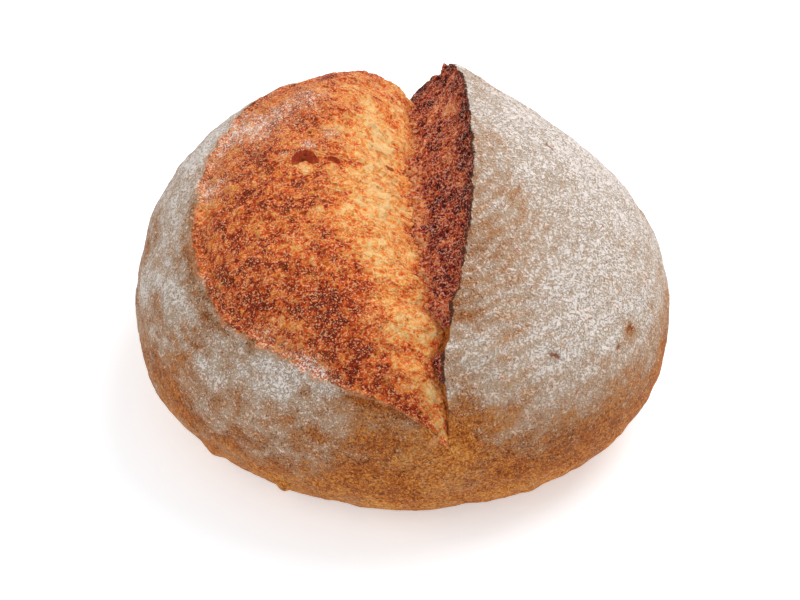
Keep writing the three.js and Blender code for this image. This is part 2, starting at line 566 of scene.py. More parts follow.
FLOUR_SPOTS = (
    Spot(97.6, 124.5, 0.0035, 0.45),
    Spot(93.8, 119.4, 0.0030, 0.36),
    Spot(102.0, 118.0, 0.0045, 0.45),
    Spot(107.8, 111.0, 0.005, 0.40),
    Spot(92.6, 143.4, 0.009, 0.35),
    Spot(83.4, 136.0, 0.008, 0.12),
    Spot(112.0, 134.0, 0.012, 0.30),
    Spot(124.0, 120.0, 0.016, 0.32),
    Spot(47.2, 134.6, 0.009, 0.14),
    Spot(29.5, 124.0, 0.007, 0.22),
    Spot(35.0, 130.0, 0.008, 0.30),
    Spot(112.0, 136.0, 0.030, 0.30),
    Spot(15.6, 35.0, 0.005, -0.25),
    Spot(16.8, 20.0, 0.006, -0.25),
    Spot(17.9, 52.6, 0.004, -0.25),
    Spot(20.0, 30.0, 0.012, -0.12),
    Spot(24.0, 45.0, 0.009, -0.16),
    Spot(13.0, 95.0, 0.016, -0.14),
    Spot(79.6, 60.5, 0.010, -0.04),
    Spot(60.0, 52.0, 0.026, -0.02),
    Spot(37.7, 174.5, 0.020, 0.06),
    Spot(76.0, 157.4, 0.020, 0.08),
    Spot(66.0, 63.0, 0.009, -0.03),
    Spot(100.0, 60.0, 0.008, -0.04),
    Spot(82.0, 56.0, 0.004, -0.06),
    Spot(62.6, 20.2, 0.0035, -0.34),
    Spot(48.0, 150.0, 0.018, 0.12),
    Spot(36.0, 140.0, 0.016, 0.10),
    Spot(70.0, 165.0, 0.020, 0.06),
    Spot(36.0, 58.0, 0.014, 0.08),
    Spot(44.0, 52.0, 0.010, -0.08),
    Spot(60.0, 34.0, 0.020, 0.12),
    Spot(110.0, 35.0, 0.030, 0.12),
    Spot(146.0, 62.5, 0.0040, 0.40),
    Spot(138.0, 64.0, 0.0035, 0.30),
)


class Zone(Enum):
    """The zones of the crust, each written on the mesh as a number from 0 to 1 at every point."""

    BLOOM = "bloom"
    TORN = "torn"
    RIM = "rim"
    LIP = "lip"
    # The crumb's strands, less painted shade in the pits.
    STRANDS_AND_PIT_SHADE = "web"
    # The oven's browning, with painted shade at the bottom of the trough.
    HEAT_AND_TROUGH_SHADE = "oven_heat_and_trough_shade"
    FLOUR = "flour"
    # Scars' bared crumb, and painted shade on burst bubbles' back walls.
    SCARS_AND_WALL_SHADE = "scar_and_wall_shade"
    SOLE = "sole"


GRAIN = "grain"


@dataclass(frozen=True)
class Ground:
    """The loaf's surface point by point, before it is roughened.

    polar and around are the points' angles, chart and score where they lie across the score and its
    measures there, and clear is 0 where the loaf rests on its surface and 1 well above it.
    """

    points: Array
    polar: Array
    around: Array
    chart: Chart
    score: Score
    clear: Array


@dataclass(frozen=True)
class ZoneEdges:
    """Where the zones begin and end, most of them softly, over a millimetre or two."""

    opening: Rise = Rise(1, 0.002, 0.008)
    front_end: Rise = Rise(1, math.radians(12.8), math.radians(15.2))
    lip: Rise = Rise(1, 0.0022, -0.0022)
    trough: Rise = Rise(1, -0.0006, 0.0012)
    torn_foot: Rise = Rise(1, 0.0012, -0.0006)
    gape: Rise = Rise(1, 0.0005, 0.0024)
    wide_gape: Rise = Rise(1, 0.0008, 0.004)
    rim_outside: Bell = Bell(1, 0.0, 0.00035)
    rim_inside: Bell = Bell(1, 0.0, 0.0008)
    rim_foot: Rise = Rise(1, 0.001, -0.001)
    rim_back: Rise = Rise(-0.6, 2.4, 2.7)
    roll: Bell = Bell(1, 0.0006, 0.0020)
    roll_opening: Rise = Rise(1, 0.001, 0.007)
    sole: Rise = Rise(1, 0.010, 0.0005)


@dataclass(frozen=True)
class OvenHeat:
    """How far the oven took each zone, from 0 for pale to 1 for charred."""

    bloom: float = 0.25
    bloom_crown: Rise = Rise(0.40, 0.14, 0.62)
    # Painted shade: the bloom darker at the bottom of the trough, in the crevice.
    trough_shade: Bell = Bell(0.22, 0.0, 0.0035)
    torn: float = 0.55
    torn_foot: Rise = Rise(-0.30, 0.62, 1.0)
    torn_brow: Rise = Rise(0.24, 0.35, 0.0)
    skin: float = 0.44
    by_lip: Bell = Bell(0.22, 0.0, 0.010)
    by_ear: Bell = Bell(0.20, 0.0, 0.014)
    girth: Bell = Bell(0.07, 0.047, 0.014)
    foot: Rise = Rise(-0.13, 0.038, 0.014)
    left_side: Rise = Rise(0.16, 0.0, -0.06)
    shoulder: Rise = Rise(1, 0.030, 0.055)


@dataclass(frozen=True)
class FlourFall:
    """How much flour lies where, from 0 for none to 1 for a thick coat."""

    least: float = 0.05
    dome: Rise = Rise(0.38, 0.034, 0.086)
    left_side: Rise = Rise(1, 0.010, -0.040)
    blotches: float = 0.12
    left_flank: Rise = Rise(0.15, 0.078, 0.052)
    above_foot: Rise = Rise(1, 0.010, 0.036)
    to_back: Rise = Rise(0.16, -0.05, 0.06)
    to_right: Rise = Rise(0.14, -0.02, 0.09)
    above_belly: Rise = Rise(1, 0.024, 0.056)
    by_ear: Bell = Bell(-0.10, 0.003, 0.012)
    ear_start: float = -0.001
    by_lip: Bell = Bell(-0.18, 0.0, 0.006)
    lip_opening: Rise = Rise(1, 0.002, 0.010)
    bloom: float = -0.08
    spilt_on_bloom: Bell = Bell(0.22, -0.002, 0.0055)
    wide_blotch: float = 0.011
    small_blotch: float = 0.0045
    wide_share: float = 1.3
    small_share: float = 0.9

    def patches(self, points: Array, where: Array) -> Array:
        """Blotches from about -1 to 1, a thumb's width across.

        Args:
            points: The loaf's points.
            where: Weights; blotches are worked out only where they are above 0.

        Returns:
            The blotches' strength at every point.
        """
        strength = np.zeros(len(points))
        for i in np.flatnonzero(where > LEAST_WEIGHT):
            here = Vector(points[i])
            wide = noise.noise(here / self.wide_blotch)
            small = noise.noise(here / self.small_blotch)
            strength[i] = self.wide_share * wide + self.small_share * small
        return strength


@dataclass(frozen=True)
class CrumbWeb:
    """The web of strands that opened dough bakes into, with pits between them.

    seed picks the strands' swirls, which would otherwise be drawn afresh by the clock on every run.
    """

    seed: int = 5
    swirl_size: float = 0.007
    swirl: float = 0.55
    strand_across: float = 0.0046
    strand_along: float = 0.0027
    strand_layer: float = 0.4
    strand_sharpness: float = 3.6
    fine_size: float = 0.0019
    fine_sharpness: float = 3.2
    fine_share: float = 0.8
    level: float = 0.4
    bloom_height: float = 0.00042
    torn_height: float = 0.00060
    pit_patch: float = 0.021
    pit_plenty: float = 0.15
    pit_spacing: float = 0.0055
    pit_reach: float = 0.40
    pit_power: float = 1.3
    bloom_pits: float = 0.0016
    torn_pits: float = 0.0020
    # Painted shade: how much the pits darken the web that the crust's colour reads.
    pit_shade: float = 1.6

    def strand(self, here: Vector, right: float, way: float) -> float:
        """How strong a strand runs through one point.

        Args:
            here: The point.
            right: Its distance to the right of the ear's edge.
            way: Its distance along the loaf from the front pole.

        Returns:
            0 between strands, 1 on one.
        """
        swirl = noise.noise_vector(here / self.swirl_size) * self.swirl
        drawn = Vector((-right / self.strand_across, way / self.strand_along, self.strand_layer))
        strand = 1 - min(1.0, abs(noise.noise(drawn + swirl)) * self.strand_sharpness)
        fine = 1 - min(1.0, abs(noise.noise(here / self.fine_size + swirl)) * self.fine_sharpness)
        return max(strand, self.fine_share * fine)

    def pit(self, here: Vector) -> float:
        """How deep one point lies in a pit.

        Args:
            here: The point.

        Returns:
            0 outside the pits, up to about 1 in the middle of one.
        """
        share = max(0.0, noise.noise(here / self.pit_patch) + self.pit_plenty)
        return share * max(0.0, 1 - noise.voronoi(here / self.pit_spacing)[0][0] / self.pit_reach)

    def height(self, web: Array, pits: Array, bloom: Array, torn: Array) -> Array:
        """How far the strands and pits move the surface, in metres.

        Args:
            web: The strands' strength at every point.
            pits: The pits' depth at every point.
            bloom: How much each point belongs to the bloom.
            torn: How much it belongs to the torn face.

        Returns:
            The height that they add at every point.
        """
        raised = (web - self.level) * (self.bloom_height * bloom + self.torn_height * torn)
        return raised - pits**self.pit_power * (self.bloom_pits * bloom + self.torn_pits * torn)


@dataclass(frozen=True)
class BasketRings:
    """Faint rings that the proving basket pressed into the dome."""

    middle_x: float = -0.01
    pitch: float = 0.0052
    height: float = 0.00016
    waver: Waver = Waver(0.03, 2.2, 9)
    dome: Rise = Rise(1, 0.045, 0.075)
    outer: Rise = Rise(1, 0.035, 0.055)

    def at(self, points: Array, way: Array) -> Array:
        """The height that the rings add.

        Args:
            points: The loaf's points.
            way: Their distances along the loaf from the front pole.

        Returns:
            The height at every point.
        """
        centre = np.hypot(points[:, 0] - self.middle_x, points[:, 1])
        rings = np.sin(centre / self.pitch * 2 * math.pi + self.waver.at(way))
        return self.height * rings * self.dome.at(points[:, 2]) * self.outer.at(centre)


# ---------------------------------------------------------------- the loaf


def nothing_selected() -> None:
    """Deselects every object."""
    bpy.ops.object.select_all(action="DESELECT")


def only_selected(piece: bpy.types.Object) -> None:
    """Selects one object alone, and makes it the active one.

    Args:
        piece: The object.
    """
    nothing_selected()
    piece.select_set(True)
    bpy.context.view_layer.objects.active = piece


def positions(mesh: bpy.types.Mesh) -> Array:
    """The places of a mesh's points.

    Args:
        mesh: The mesh.

    Returns:
        One row for each point.
    """
    flat = np.empty(len(mesh.vertices) * 3, np.float32)
    mesh.vertices.foreach_get("co", flat)
    return flat.reshape(-1, 3).astype(float)


def set_positions(mesh: bpy.types.Mesh, points: Array) -> None:
    """Moves a mesh's points to the given rows."""
    mesh.vertices.foreach_set("co", points.astype(np.float32).ravel())
    mesh.update()


def normals(mesh: bpy.types.Mesh) -> Array:
    """The outward directions at a mesh's points.

    Args:
        mesh: The mesh.

    Returns:
        One row for each point.
    """
    flat = np.empty(len(mesh.vertices) * 3, np.float32)
    mesh.vertex_normals.foreach_get("vector", flat)
    return flat.reshape(-1, 3).astype(float)


def numbers(mesh: bpy.types.Mesh, name: str, count: int) -> Array:
    """Reads whole numbers that were written on a mesh.

    Args:
        mesh: The mesh.
        name: The attribute.
        count: How many there are.

    Returns:
        The numbers.
    """
    values = np.empty(count, np.int32)
    mesh.attributes[name].data.foreach_get("value", values)
    return values


@dataclass(frozen=True)
class Roughening:
    """One pass of cloudy lumps over a part of the crust, as a displacement along its normals."""

    name: str
    size: float
    strength: float
    group: str

    def apply(self, loaf: bpy.types.Object) -> None:
        """Displaces the loaf once.

        Args:
            loaf: The loaf, with its vertex groups.
        """
        texture = bpy.data.textures.new(self.name, "CLOUDS")
        texture.noise_scale = self.size
        texture.noise_depth = 3
        modifier = loaf.modifiers.new(self.name, "DISPLACE")
        modifier.texture = texture
        modifier.texture_coords = "LOCAL"
        modifier.direction = "NORMAL"
        modifier.mid_level = 0.5
        modifier.strength = self.strength
        modifier.vertex_group = self.group
        with bpy.context.temp_override(object=loaf, active_object=loaf):
            bpy.ops.object.modifier_apply(modifier=self.name)
        bpy.data.textures.remove(texture)


class Part(Enum):
    """The pieces that the crust is divided into, where the score tore it."""

    SKIN = "floured_skin"
    TORN = "torn_face"
    BLOOM = "bloom"


@dataclass(frozen=True)
class Band:
    """A strip of columns between two places round the loaf, all on one piece."""

    start: str
    end: str
    columns: int
    part: Part


@dataclass
class Loaf:
    """The loaf: its form, its roughness and its zones.

    rings is how many rings of faces it has from pole to pole, and bands how many columns each strip
    has. measured_polar and measured_around are the angles, in radians, and how many of each, at which
    the form is measured against the frame's loaf. step_back (in degrees) and step_round (in radians)
    are how far apart neighbouring places are taken when a direction in the surface is measured.
    """

    form: LoafForm
    rings: int = 400
    bands: tuple[Band, ...] = (
        Band("base", "flank", 26, Part.SKIN),
        Band("flank", "ear", 110, Part.SKIN),
        Band("ear", "trough", 76, Part.TORN),
        Band("trough", "lip", 230, Part.BLOOM),
        Band("lip", "left_flank", 84, Part.SKIN),
        Band("left_flank", "round", 26, Part.SKIN),
    )
    low_flank: float = math.radians(-38)
    left_flank: float = math.radians(218)
    least_bloom: float = math.radians(4)
    least_reach: float = 4
    measured_polar: tuple[float, float, int] = (0.01, 3.13, 90)
    measured_around: tuple[float, float, int] = (-1.57, 4.71, 180)
    step_back: float = 0.6
    step_round: float = 0.01
    resting: Rise = Rise(1, 0.0002, 0.006)
    undercut: float = 0.0022
    undercut_share: float = 0.55
    undercut_opening: Rise = Rise(1, 0.003, 0.012)
    edges: ZoneEdges = ZoneEdges()
    oven: OvenHeat = OvenHeat()
    flour: FlourFall = FlourFall()
    crumb: CrumbWeb = CrumbWeb()
    basket: BasketRings = BasketRings()
    roughenings: tuple[Roughening, ...] = (
        Roughening("dome_lumps", 0.034, 0.0034, "skin"),
        Roughening("dome_dimples", 0.010, 0.0014, "skin"),
        Roughening("dome_pimples", 0.0032, 0.0004, "skin"),
        Roughening("bloom_billows", 0.014, 0.0044, "bloom"),
        Roughening("bloom_blisters", 0.0052, 0.0017, "bloom"),
        Roughening("bloom_crumb", 0.0026, 0.0005, "bloom"),
        Roughening("torn_rags", 0.0070, 0.0040, "torn"),
        Roughening("torn_crumb", 0.0030, 0.0024, "torn"),
        Roughening("torn_crumbs", 0.0013, 0.0010, "torn"),
    )
    group_levels: int = 20

    def __post_init__(self) -> None:
        """Works out once how the form comes onto the frame's loaf."""
        self.weights: dict[str, Array] = {}
        self.home_move = self.home()

    @property
    def columns(self) -> int:
        """How many columns there are round the loaf."""
        return sum(band.columns for band in self.bands)

    def home(self) -> Array:
        """Measures the form against the frame's loaf.

        Returns:
            The move that brings the form onto it.
        """
        low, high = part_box(LOAF_NODE)
        polar, around = np.meshgrid(np.linspace(*self.measured_polar), np.linspace(*self.measured_around))
        plain = self.form.score(polar.ravel(), wander=0.0)
        points, _ = self.form.surface(polar.ravel(), around.ravel(), plain)
        middle = (points.min(0) + points.max(0)) / 2
        return np.array([(low.x + high.x) / 2 - middle[0], (low.y + high.y) / 2 - middle[1], low.z])

    def column_angles(self, score: Score, polar: Array) -> Array:
        """The angle of every column at every ring, with columns along the ear, the trough and the lip.

        Args:
            score: The score's measures at the rings.
            polar: The rings' angles from the front pole.

        Returns:
            Angles in radians, one row for each ring.
        """
        body, _ = self.form.body(polar, score.ear)
        reach = np.maximum(np.hypot(body[:, 0], body[:, 2]), score.face * self.least_reach)
        trough = score.ear + score.face / np.maximum(reach, TINY)
        whole = np.ones(len(polar))
        places = {
            "base": whole * math.radians(-90),
            "flank": whole * self.low_flank,
            "ear": score.ear,
            "trough": trough,
            "lip": np.maximum(score.lip, trough + self.least_bloom),
            "left_flank": whole * self.left_flank,
            "round": whole * math.radians(270),
        }
        strips = []
        for band in self.bands:
            share = np.arange(band.columns) / band.columns
            start = places[band.start][:, None]
            end = places[band.end][:, None]
            strips.append(start + (end - start) * share)
        return np.concatenate(strips, axis=1)

    def sheet(self) -> bpy.types.Object:
        """Adds a sheet of faces, one for every ring and column, marked with the pieces they belong to.

        Returns:
            The sheet, a unit wide.
        """
        nothing_selected()
        bpy.ops.mesh.primitive_grid_add(x_subdivisions=self.rings, y_subdivisions=self.columns, size=1)
        sheet = bpy.context.object
        mesh = sheet.data
        centres = np.empty(len(mesh.polygons) * 3, np.float32)
        mesh.polygons.foreach_get("center", centres)
        column = np.floor((centres.reshape(-1, 3)[:, 1] + 0.5) * self.columns).astype(int)
        parts = list(Part)
        owner = np.concatenate([np.full(band.columns, parts.index(band.part)) for band in self.bands])
        mesh.attributes.new("part", "INT", "FACE").data.foreach_set("value", owner[column].astype(np.int32))
        for axis, name, count in ((0, "ring", self.rings), (1, "column", self.columns)):
            number = np.rint((positions(mesh)[:, axis] + 0.5) * count).astype(np.int32)
            mesh.attributes.new(name, "INT", "POINT").data.foreach_set("value", number)
        return sheet

    def build(self) -> dict[Part, bpy.types.Object]:
        """Makes the whole loaf, and divides it into its pieces.

        Returns:
            The pieces, in their places, with their zones written on them.
        """
        loaf = self.sheet()
        self.lay(loaf.data)
        self.close(loaf)
        ground = self.hook(self.lay(loaf.data))
        set_positions(loaf.data, ground.points)
        self.write_zones(loaf.data, ground)
        self.roughen(loaf)
        self.weather(loaf.data, ground)
        return self.divide(loaf)

    def lay(self, mesh: bpy.types.Mesh) -> Ground:
        """Lays a mesh's points on the form, each at its ring and column.

        Args:
            mesh: The mesh, with its ring and column numbers.

        Returns:
            The surface that the points make.
        """
        rings = np.arange(self.rings + 1) / self.rings * math.pi
        ring_score = self.form.score(rings)
        angles = self.column_angles(ring_score, rings)
        ring = numbers(mesh, "ring", len(mesh.vertices))
        column = numbers(mesh, "column", len(mesh.vertices)) % self.columns
        score = ring_score.pick(ring)
        polar = rings[ring]
        around = angles[ring, column]
        points, chart = self.form.surface(polar, around, score)
        points += self.home_move
        set_positions(mesh, points)
        return Ground(points, polar, around, chart, score, self.resting.at(points[:, 2]))

    def close(self, loaf: bpy.types.Object) -> None:
        """Joins the sheet's two sides under the loaf, and draws its ends together at the poles.

        Args:
            loaf: The sheet, laid on the form.
        """
        only_selected(loaf)
        bpy.ops.object.mode_set(mode="EDIT")
        bpy.ops.mesh.select_all(action="SELECT")
        bpy.ops.mesh.remove_doubles(threshold=TINY)
        bpy.ops.object.mode_set(mode="OBJECT")

    def divide(self, loaf: bpy.types.Object) -> dict[Part, bpy.types.Object]:
        """Divides the loaf along the ear's edge, the trough and the lip.

        Args:
            loaf: The whole loaf.

        Returns:
            Its pieces.
        """
        pieces = {}
        for part in (Part.TORN, Part.BLOOM):
            only_selected(loaf)
            bpy.ops.object.mode_set(mode="EDIT")
            bpy.ops.mesh.select_mode(type="FACE")
            bpy.ops.mesh.select_all(action="DESELECT")
            bpy.ops.object.mode_set(mode="OBJECT")
            owner = numbers(loaf.data, "part", len(loaf.data.polygons))
            loaf.data.polygons.foreach_set("select", owner == list(Part).index(part))
            bpy.ops.object.mode_set(mode="EDIT")
            bpy.ops.mesh.separate(type="SELECTED")
            bpy.ops.object.mode_set(mode="OBJECT")
            pieces[part] = next(piece for piece in bpy.context.selected_objects if piece != loaf)
        pieces[Part.SKIN] = loaf
        for part, piece in pieces.items():
            piece.name = part.value
            piece.data.name = part.value
            for name in ("ring", "column", "part"):
                piece.data.attributes.remove(piece.data.attributes[name])
            only_selected(piece)
            bpy.ops.object.shade_smooth()
        return pieces

    def hook(self, ground: Ground) -> Ground:
        """Cuts the torn face back under the ear's edge, which leaves the edge as a thin hook.

        Args:
            ground: The loaf's surface.

        Returns:
            The surface, with its points just under the edge moved to the right.
        """
        chart = ground.chart
        share = np.clip(-chart.right / ground.score.face, 0, 1)
        inside = (chart.right < 0) & (chart.left < 0)
        shape = np.where(inside, np.sin(np.pi * np.clip(share / self.undercut_share, 0, 1)), 0)
        amount = self.undercut * shape * self.undercut_opening.at(ground.score.face)
        around = ground.around
        to_right = np.stack([np.sin(around), np.zeros_like(around), -np.cos(around)], -1)
        return replace(ground, points=ground.points + to_right * amount[:, None])

    def place(self, station: float, around: float) -> tuple[Array, Array, Array, Array]:
        """A place on the form, with directions in its surface.

        Args:
            station: Degrees from the front pole.
            around: Degrees about the front-to-back axis.

        Returns:
            The point, and unit vectors to the back, to the left and outwards.
        """
        polar = np.radians(station + np.array([0, self.step_back, 0]))
        turn = math.radians(around) + np.array([0, 0, self.step_round])
        points, _ = self.form.surface(polar, turn, self.form.score(polar, wander=0.0))
        points += self.home_move
        back = points[1] - points[0]
        left = points[2] - points[0]
        back /= np.linalg.norm(back)
        left -= back * (left @ back)
        left /= np.linalg.norm(left)
        return points[0], back, left, np.cross(left, back)

    def spotted(self, value: Array, points: Array, spots: tuple[Spot, ...]) -> Array:
        """Adds spots to a value.

        Args:
            value: The value at every point.
            points: The points.
            spots: The spots.

        Returns:
            The value with the spots on it.
        """
        for spot in spots:
            centre = self.place(spot.station, spot.around)[0]
            value = value + spot.amount * bump(np.linalg.norm(points - centre, axis=1), spot.reach)
        return value

    def heat(self, ground: Ground, open_here: Array, bloom: Array, torn: Array) -> Array:
        """How far the oven took the crust, from 0 for pale to 1 for charred, with painted shade darkening
        the bottom of the trough.

        Args:
            ground: The loaf's surface.
            open_here: Where the score is open.
            bloom: How much each point belongs to the bloom.
            torn: How much it belongs to the torn face.

        Returns:
            The heat at every point.
        """
        oven = self.oven
        chart = ground.chart
        x, height = ground.points[:, 0], ground.points[:, 2]
        across = np.clip(chart.left / np.maximum(chart.bloom_width, TINY), 0, 1)
        down = np.clip(-chart.right / ground.score.face, 0, 1)
        # The bloom's heat includes painted shade at the bottom of the trough.
        baked = oven.bloom + oven.bloom_crown.at(across) + oven.trough_shade.at(chart.left)
        seared = oven.torn + oven.torn_foot.at(down) + oven.torn_brow.at(down)
        wide_gape = self.edges.wide_gape.at(ground.score.face)
        skin = oven.skin + oven.by_lip.at(chart.past_lip) * open_here + oven.girth.at(height)
        skin += oven.foot.at(height)
        skin += oven.by_ear.at(chart.right) * (chart.right > 0) * wide_gape
        skin += oven.left_side.at(x) * oven.shoulder.at(height)
        heat = skin + (baked - skin) * bloom
        heat += (seared - heat) * torn
        return self.spotted(heat, ground.points, OVEN_SPOTS)

    def flour_coat(self, ground: Ground, open_here: Array) -> Array:
        """How much flour lies on the crust, from 0 for none to 1 for a thick coat.

        Args:
            ground: The loaf's surface.
            open_here: Where the score is open.

        Returns:
            The amount at every point; below 0 it takes the stray grains away too.
        """
        fall = self.flour
        chart = ground.chart
        x, y, height = ground.points.T
        on_bloom = open_here * (chart.past_lip < 0)
        on_left = fall.left_side.at(x) * (chart.right < 0)
        low = fall.left_flank.at(height) * fall.above_foot.at(height)
        coat = fall.least + fall.dome.at(height)
        coat += (fall.blotches * fall.patches(ground.points, on_left) + low) * on_left
        coat += (fall.to_back.at(y) + fall.to_right.at(x)) * fall.above_belly.at(height)
        wide_gape = self.edges.wide_gape.at(ground.score.face)
        coat += fall.by_ear.at(chart.right) * (chart.right > fall.ear_start) * wide_gape
        coat += fall.by_lip.at(chart.past_lip) * fall.lip_opening.at(chart.bloom_width)
        coat += (fall.bloom - coat) * on_bloom
        coat += fall.spilt_on_bloom.at(chart.past_lip) * on_bloom
        return self.spotted(coat, ground.points, FLOUR_SPOTS)

    def write_zones(self, mesh: bpy.types.Mesh, ground: Ground) -> None:
        """Writes the zones on the mesh, and the grain's own coordinates.

        Args:
            mesh: The loaf's mesh.
            ground: Its surface.
        """
        edges = self.edges
        chart = ground.chart
        open_here = edges.opening.at(chart.bloom_width) * (chart.right < 0)
        open_here *= edges.front_end.at(ground.polar)
        bloom = edges.lip.at(chart.past_lip) * edges.trough.at(chart.left) * open_here
        gape = edges.gape.at(ground.score.face)
        torn = edges.torn_foot.at(chart.left) * (chart.right < 0) * gape
        outside, inside = edges.rim_outside.at(chart.right), edges.rim_inside.at(chart.right)
        rim = np.where(chart.right >= 0, outside, inside)
        rim *= gape * edges.rim_foot.at(chart.left) * (1 + edges.rim_back.at(ground.polar))
        values = {
            Zone.BLOOM: bloom,
            Zone.TORN: torn,
            Zone.RIM: rim,
            Zone.LIP: edges.roll.at(chart.past_lip) * edges.roll_opening.at(chart.bloom_width),
            Zone.HEAT_AND_TROUGH_SHADE: self.heat(ground, open_here, bloom, torn),
            Zone.FLOUR: self.flour_coat(ground, open_here),
            Zone.SCARS_AND_WALL_SHADE: np.zeros(len(bloom)),
            Zone.STRANDS_AND_PIT_SHADE: np.zeros(len(bloom)),
            Zone.SOLE: edges.sole.at(ground.points[:, 2]),
        }
        for zone, value in values.items():
            written = mesh.attributes.new(zone.value, "FLOAT", "POINT")
            written.data.foreach_set("value", np.clip(value, 0, 1).astype(np.float32))
        grain = np.stack([-chart.right, ground.polar * self.form.radius, np.zeros(len(bloom))], -1)
        written = mesh.attributes.new(GRAIN, "FLOAT_VECTOR", "POINT")
        written.data.foreach_set("vector", grain.astype(np.float32).ravel())
        self.weights = {
            "skin": (1 - np.maximum(bloom, torn)) * ground.clear,
            "bloom": bloom * ground.clear,
            "torn": torn * ground.clear,
        }

    def roughen(self, loaf: bpy.types.Object) -> None:
        """Lumps the crust, zone by zone, with displacements that are then applied.

        Args:
            loaf: The loaf, with its weights worked out.
        """
        everyone = np.arange(len(loaf.data.vertices))
        for name, weights in self.weights.items():
            group = loaf.vertex_groups.new(name=name)
            for level in range(1, self.group_levels + 1):
                members = everyone[np.rint(weights * self.group_levels).astype(int) == level]
                group.add(members.tolist(), level / self.group_levels, "REPLACE")
        for rough in self.roughenings:
            rough.apply(loaf)
        loaf.vertex_groups.clear()

    def weather(self, mesh: bpy.types.Mesh, ground: Ground) -> None:
        """Adds what has a direction or a place: strands, pits, basket rings, bubbles and scars.

        Args:
            mesh: The loaf's mesh, already roughened.
            ground: Its surface before that.
        """
        points = positions(mesh)
        way = ground.polar * self.form.radius
        bloom, torn = self.weights["bloom"], self.weights["torn"]
        noise.seed_set(self.crumb.seed)
        web = np.zeros(len(points))
        pits = np.zeros(len(points))
        for i in np.flatnonzero(bloom + torn > LEAST_WEIGHT):
            here = Vector(points[i])
            web[i] = self.crumb.strand(here, ground.chart.right[i], way[i])
            pits[i] = self.crumb.pit(here)
        height = self.crumb.height(web, pits, bloom, torn)
        height += self.basket.at(points, way) * self.weights["skin"]
        # How far marks change the crust's colour: scars, and painted shade on burst bubbles' back walls.
        scar_and_wall_shade = np.zeros(len(points))
        for mark in MARKS:
            lift, dark = self.mark(points, mark)
            height += lift
            scar_and_wall_shade = np.maximum(scar_and_wall_shade, dark)
        points += normals(mesh) * (height * ground.clear)[:, None]
        points[:, 2] = np.maximum(points[:, 2], 0)
        set_positions(mesh, points)
        # The web that the crust's colour reads: the strands, less painted shade in the pits.
        shade = np.clip(web, 0, 1) - self.crumb.pit_shade * pits
        for zone, value in ((Zone.SCARS_AND_WALL_SHADE, scar_and_wall_shade), (Zone.STRANDS_AND_PIT_SHADE, shade)):
            mesh.attributes[zone.value].data.foreach_set("value", value.astype(np.float32))

    def mark(self, points: Array, mark: Mark) -> tuple[Array, Array]:
        """The height that one mark adds, and how far it marks the crust's colour, with painted shade on a
        burst bubble's back wall.

        Args:
            points: The loaf's points.
            mark: The mark.

        Returns:
            Heights in metres, and from 0 to 1 the mark's bared crumb and painted wall shade, for every
            point.
        """
        centre, back, left, out = self.place(mark.station, mark.around)
        offset = points - centre
        angle = math.radians(mark.turn)
        along = offset @ (back * math.cos(angle) + left * math.sin(angle)) / mark.along
        across = offset @ (left * math.cos(angle) - back * math.sin(angle)) / mark.across
        away = np.hypot(np.hypot(along, across), offset @ out / mark.thickness)
        return mark.shape(along, across, away)

    def dress(self, piece: bpy.types.Object, crust: bpy.types.Material) -> None:
        """Gives a piece its crust and its place in the frame.

        Args:
            piece: The finished piece.
            crust: Its material.
        """
        piece.data.materials.clear()
        piece.data.materials.append(crust)
        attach(piece, "root")
        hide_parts(LOAF_NODE)


# ---------------------------------------------------------------- finishes


FULL_CHANNEL = 255
DARK_END = 0.04045
DARK_SLOPE = 12.92
BEND = 0.055
GAMMA = 2.4


def linear(channel: int) -> float:
    """One channel of a colour, from 0 to 255 as it is seen, as the light that it stands for."""
    share = channel / FULL_CHANNEL
    return share / DARK_SLOPE if share <= DARK_END else ((share + BEND) / (1 + BEND)) ** GAMMA


def seen(red: int, green: int, blue: int) -> Rgba:
    """A colour as the shader wants it.

    Args:
        red: The red that is seen, from 0 to 255.
        green: The green.
        blue: The blue.

    Returns:
        The colour in linear light, opaque.
    """
    return linear(red), linear(green), linear(blue), 1.0


@dataclass(frozen=True)
class Cloud:
    """A layer of soft noise.

    size is how big its features are in metres, sway how far it pushes the value that it sways, detail
    how many finer layers it has, rough how strong they are, and warp how much it swirls.
    """

    size: float
    sway: float
    detail: float = 3.0
    rough: float = 0.6
    warp: float = 0.0


@dataclass(frozen=True)
class Window:
    """Where a value begins to show and where it shows in full."""

    low: float
    high: float


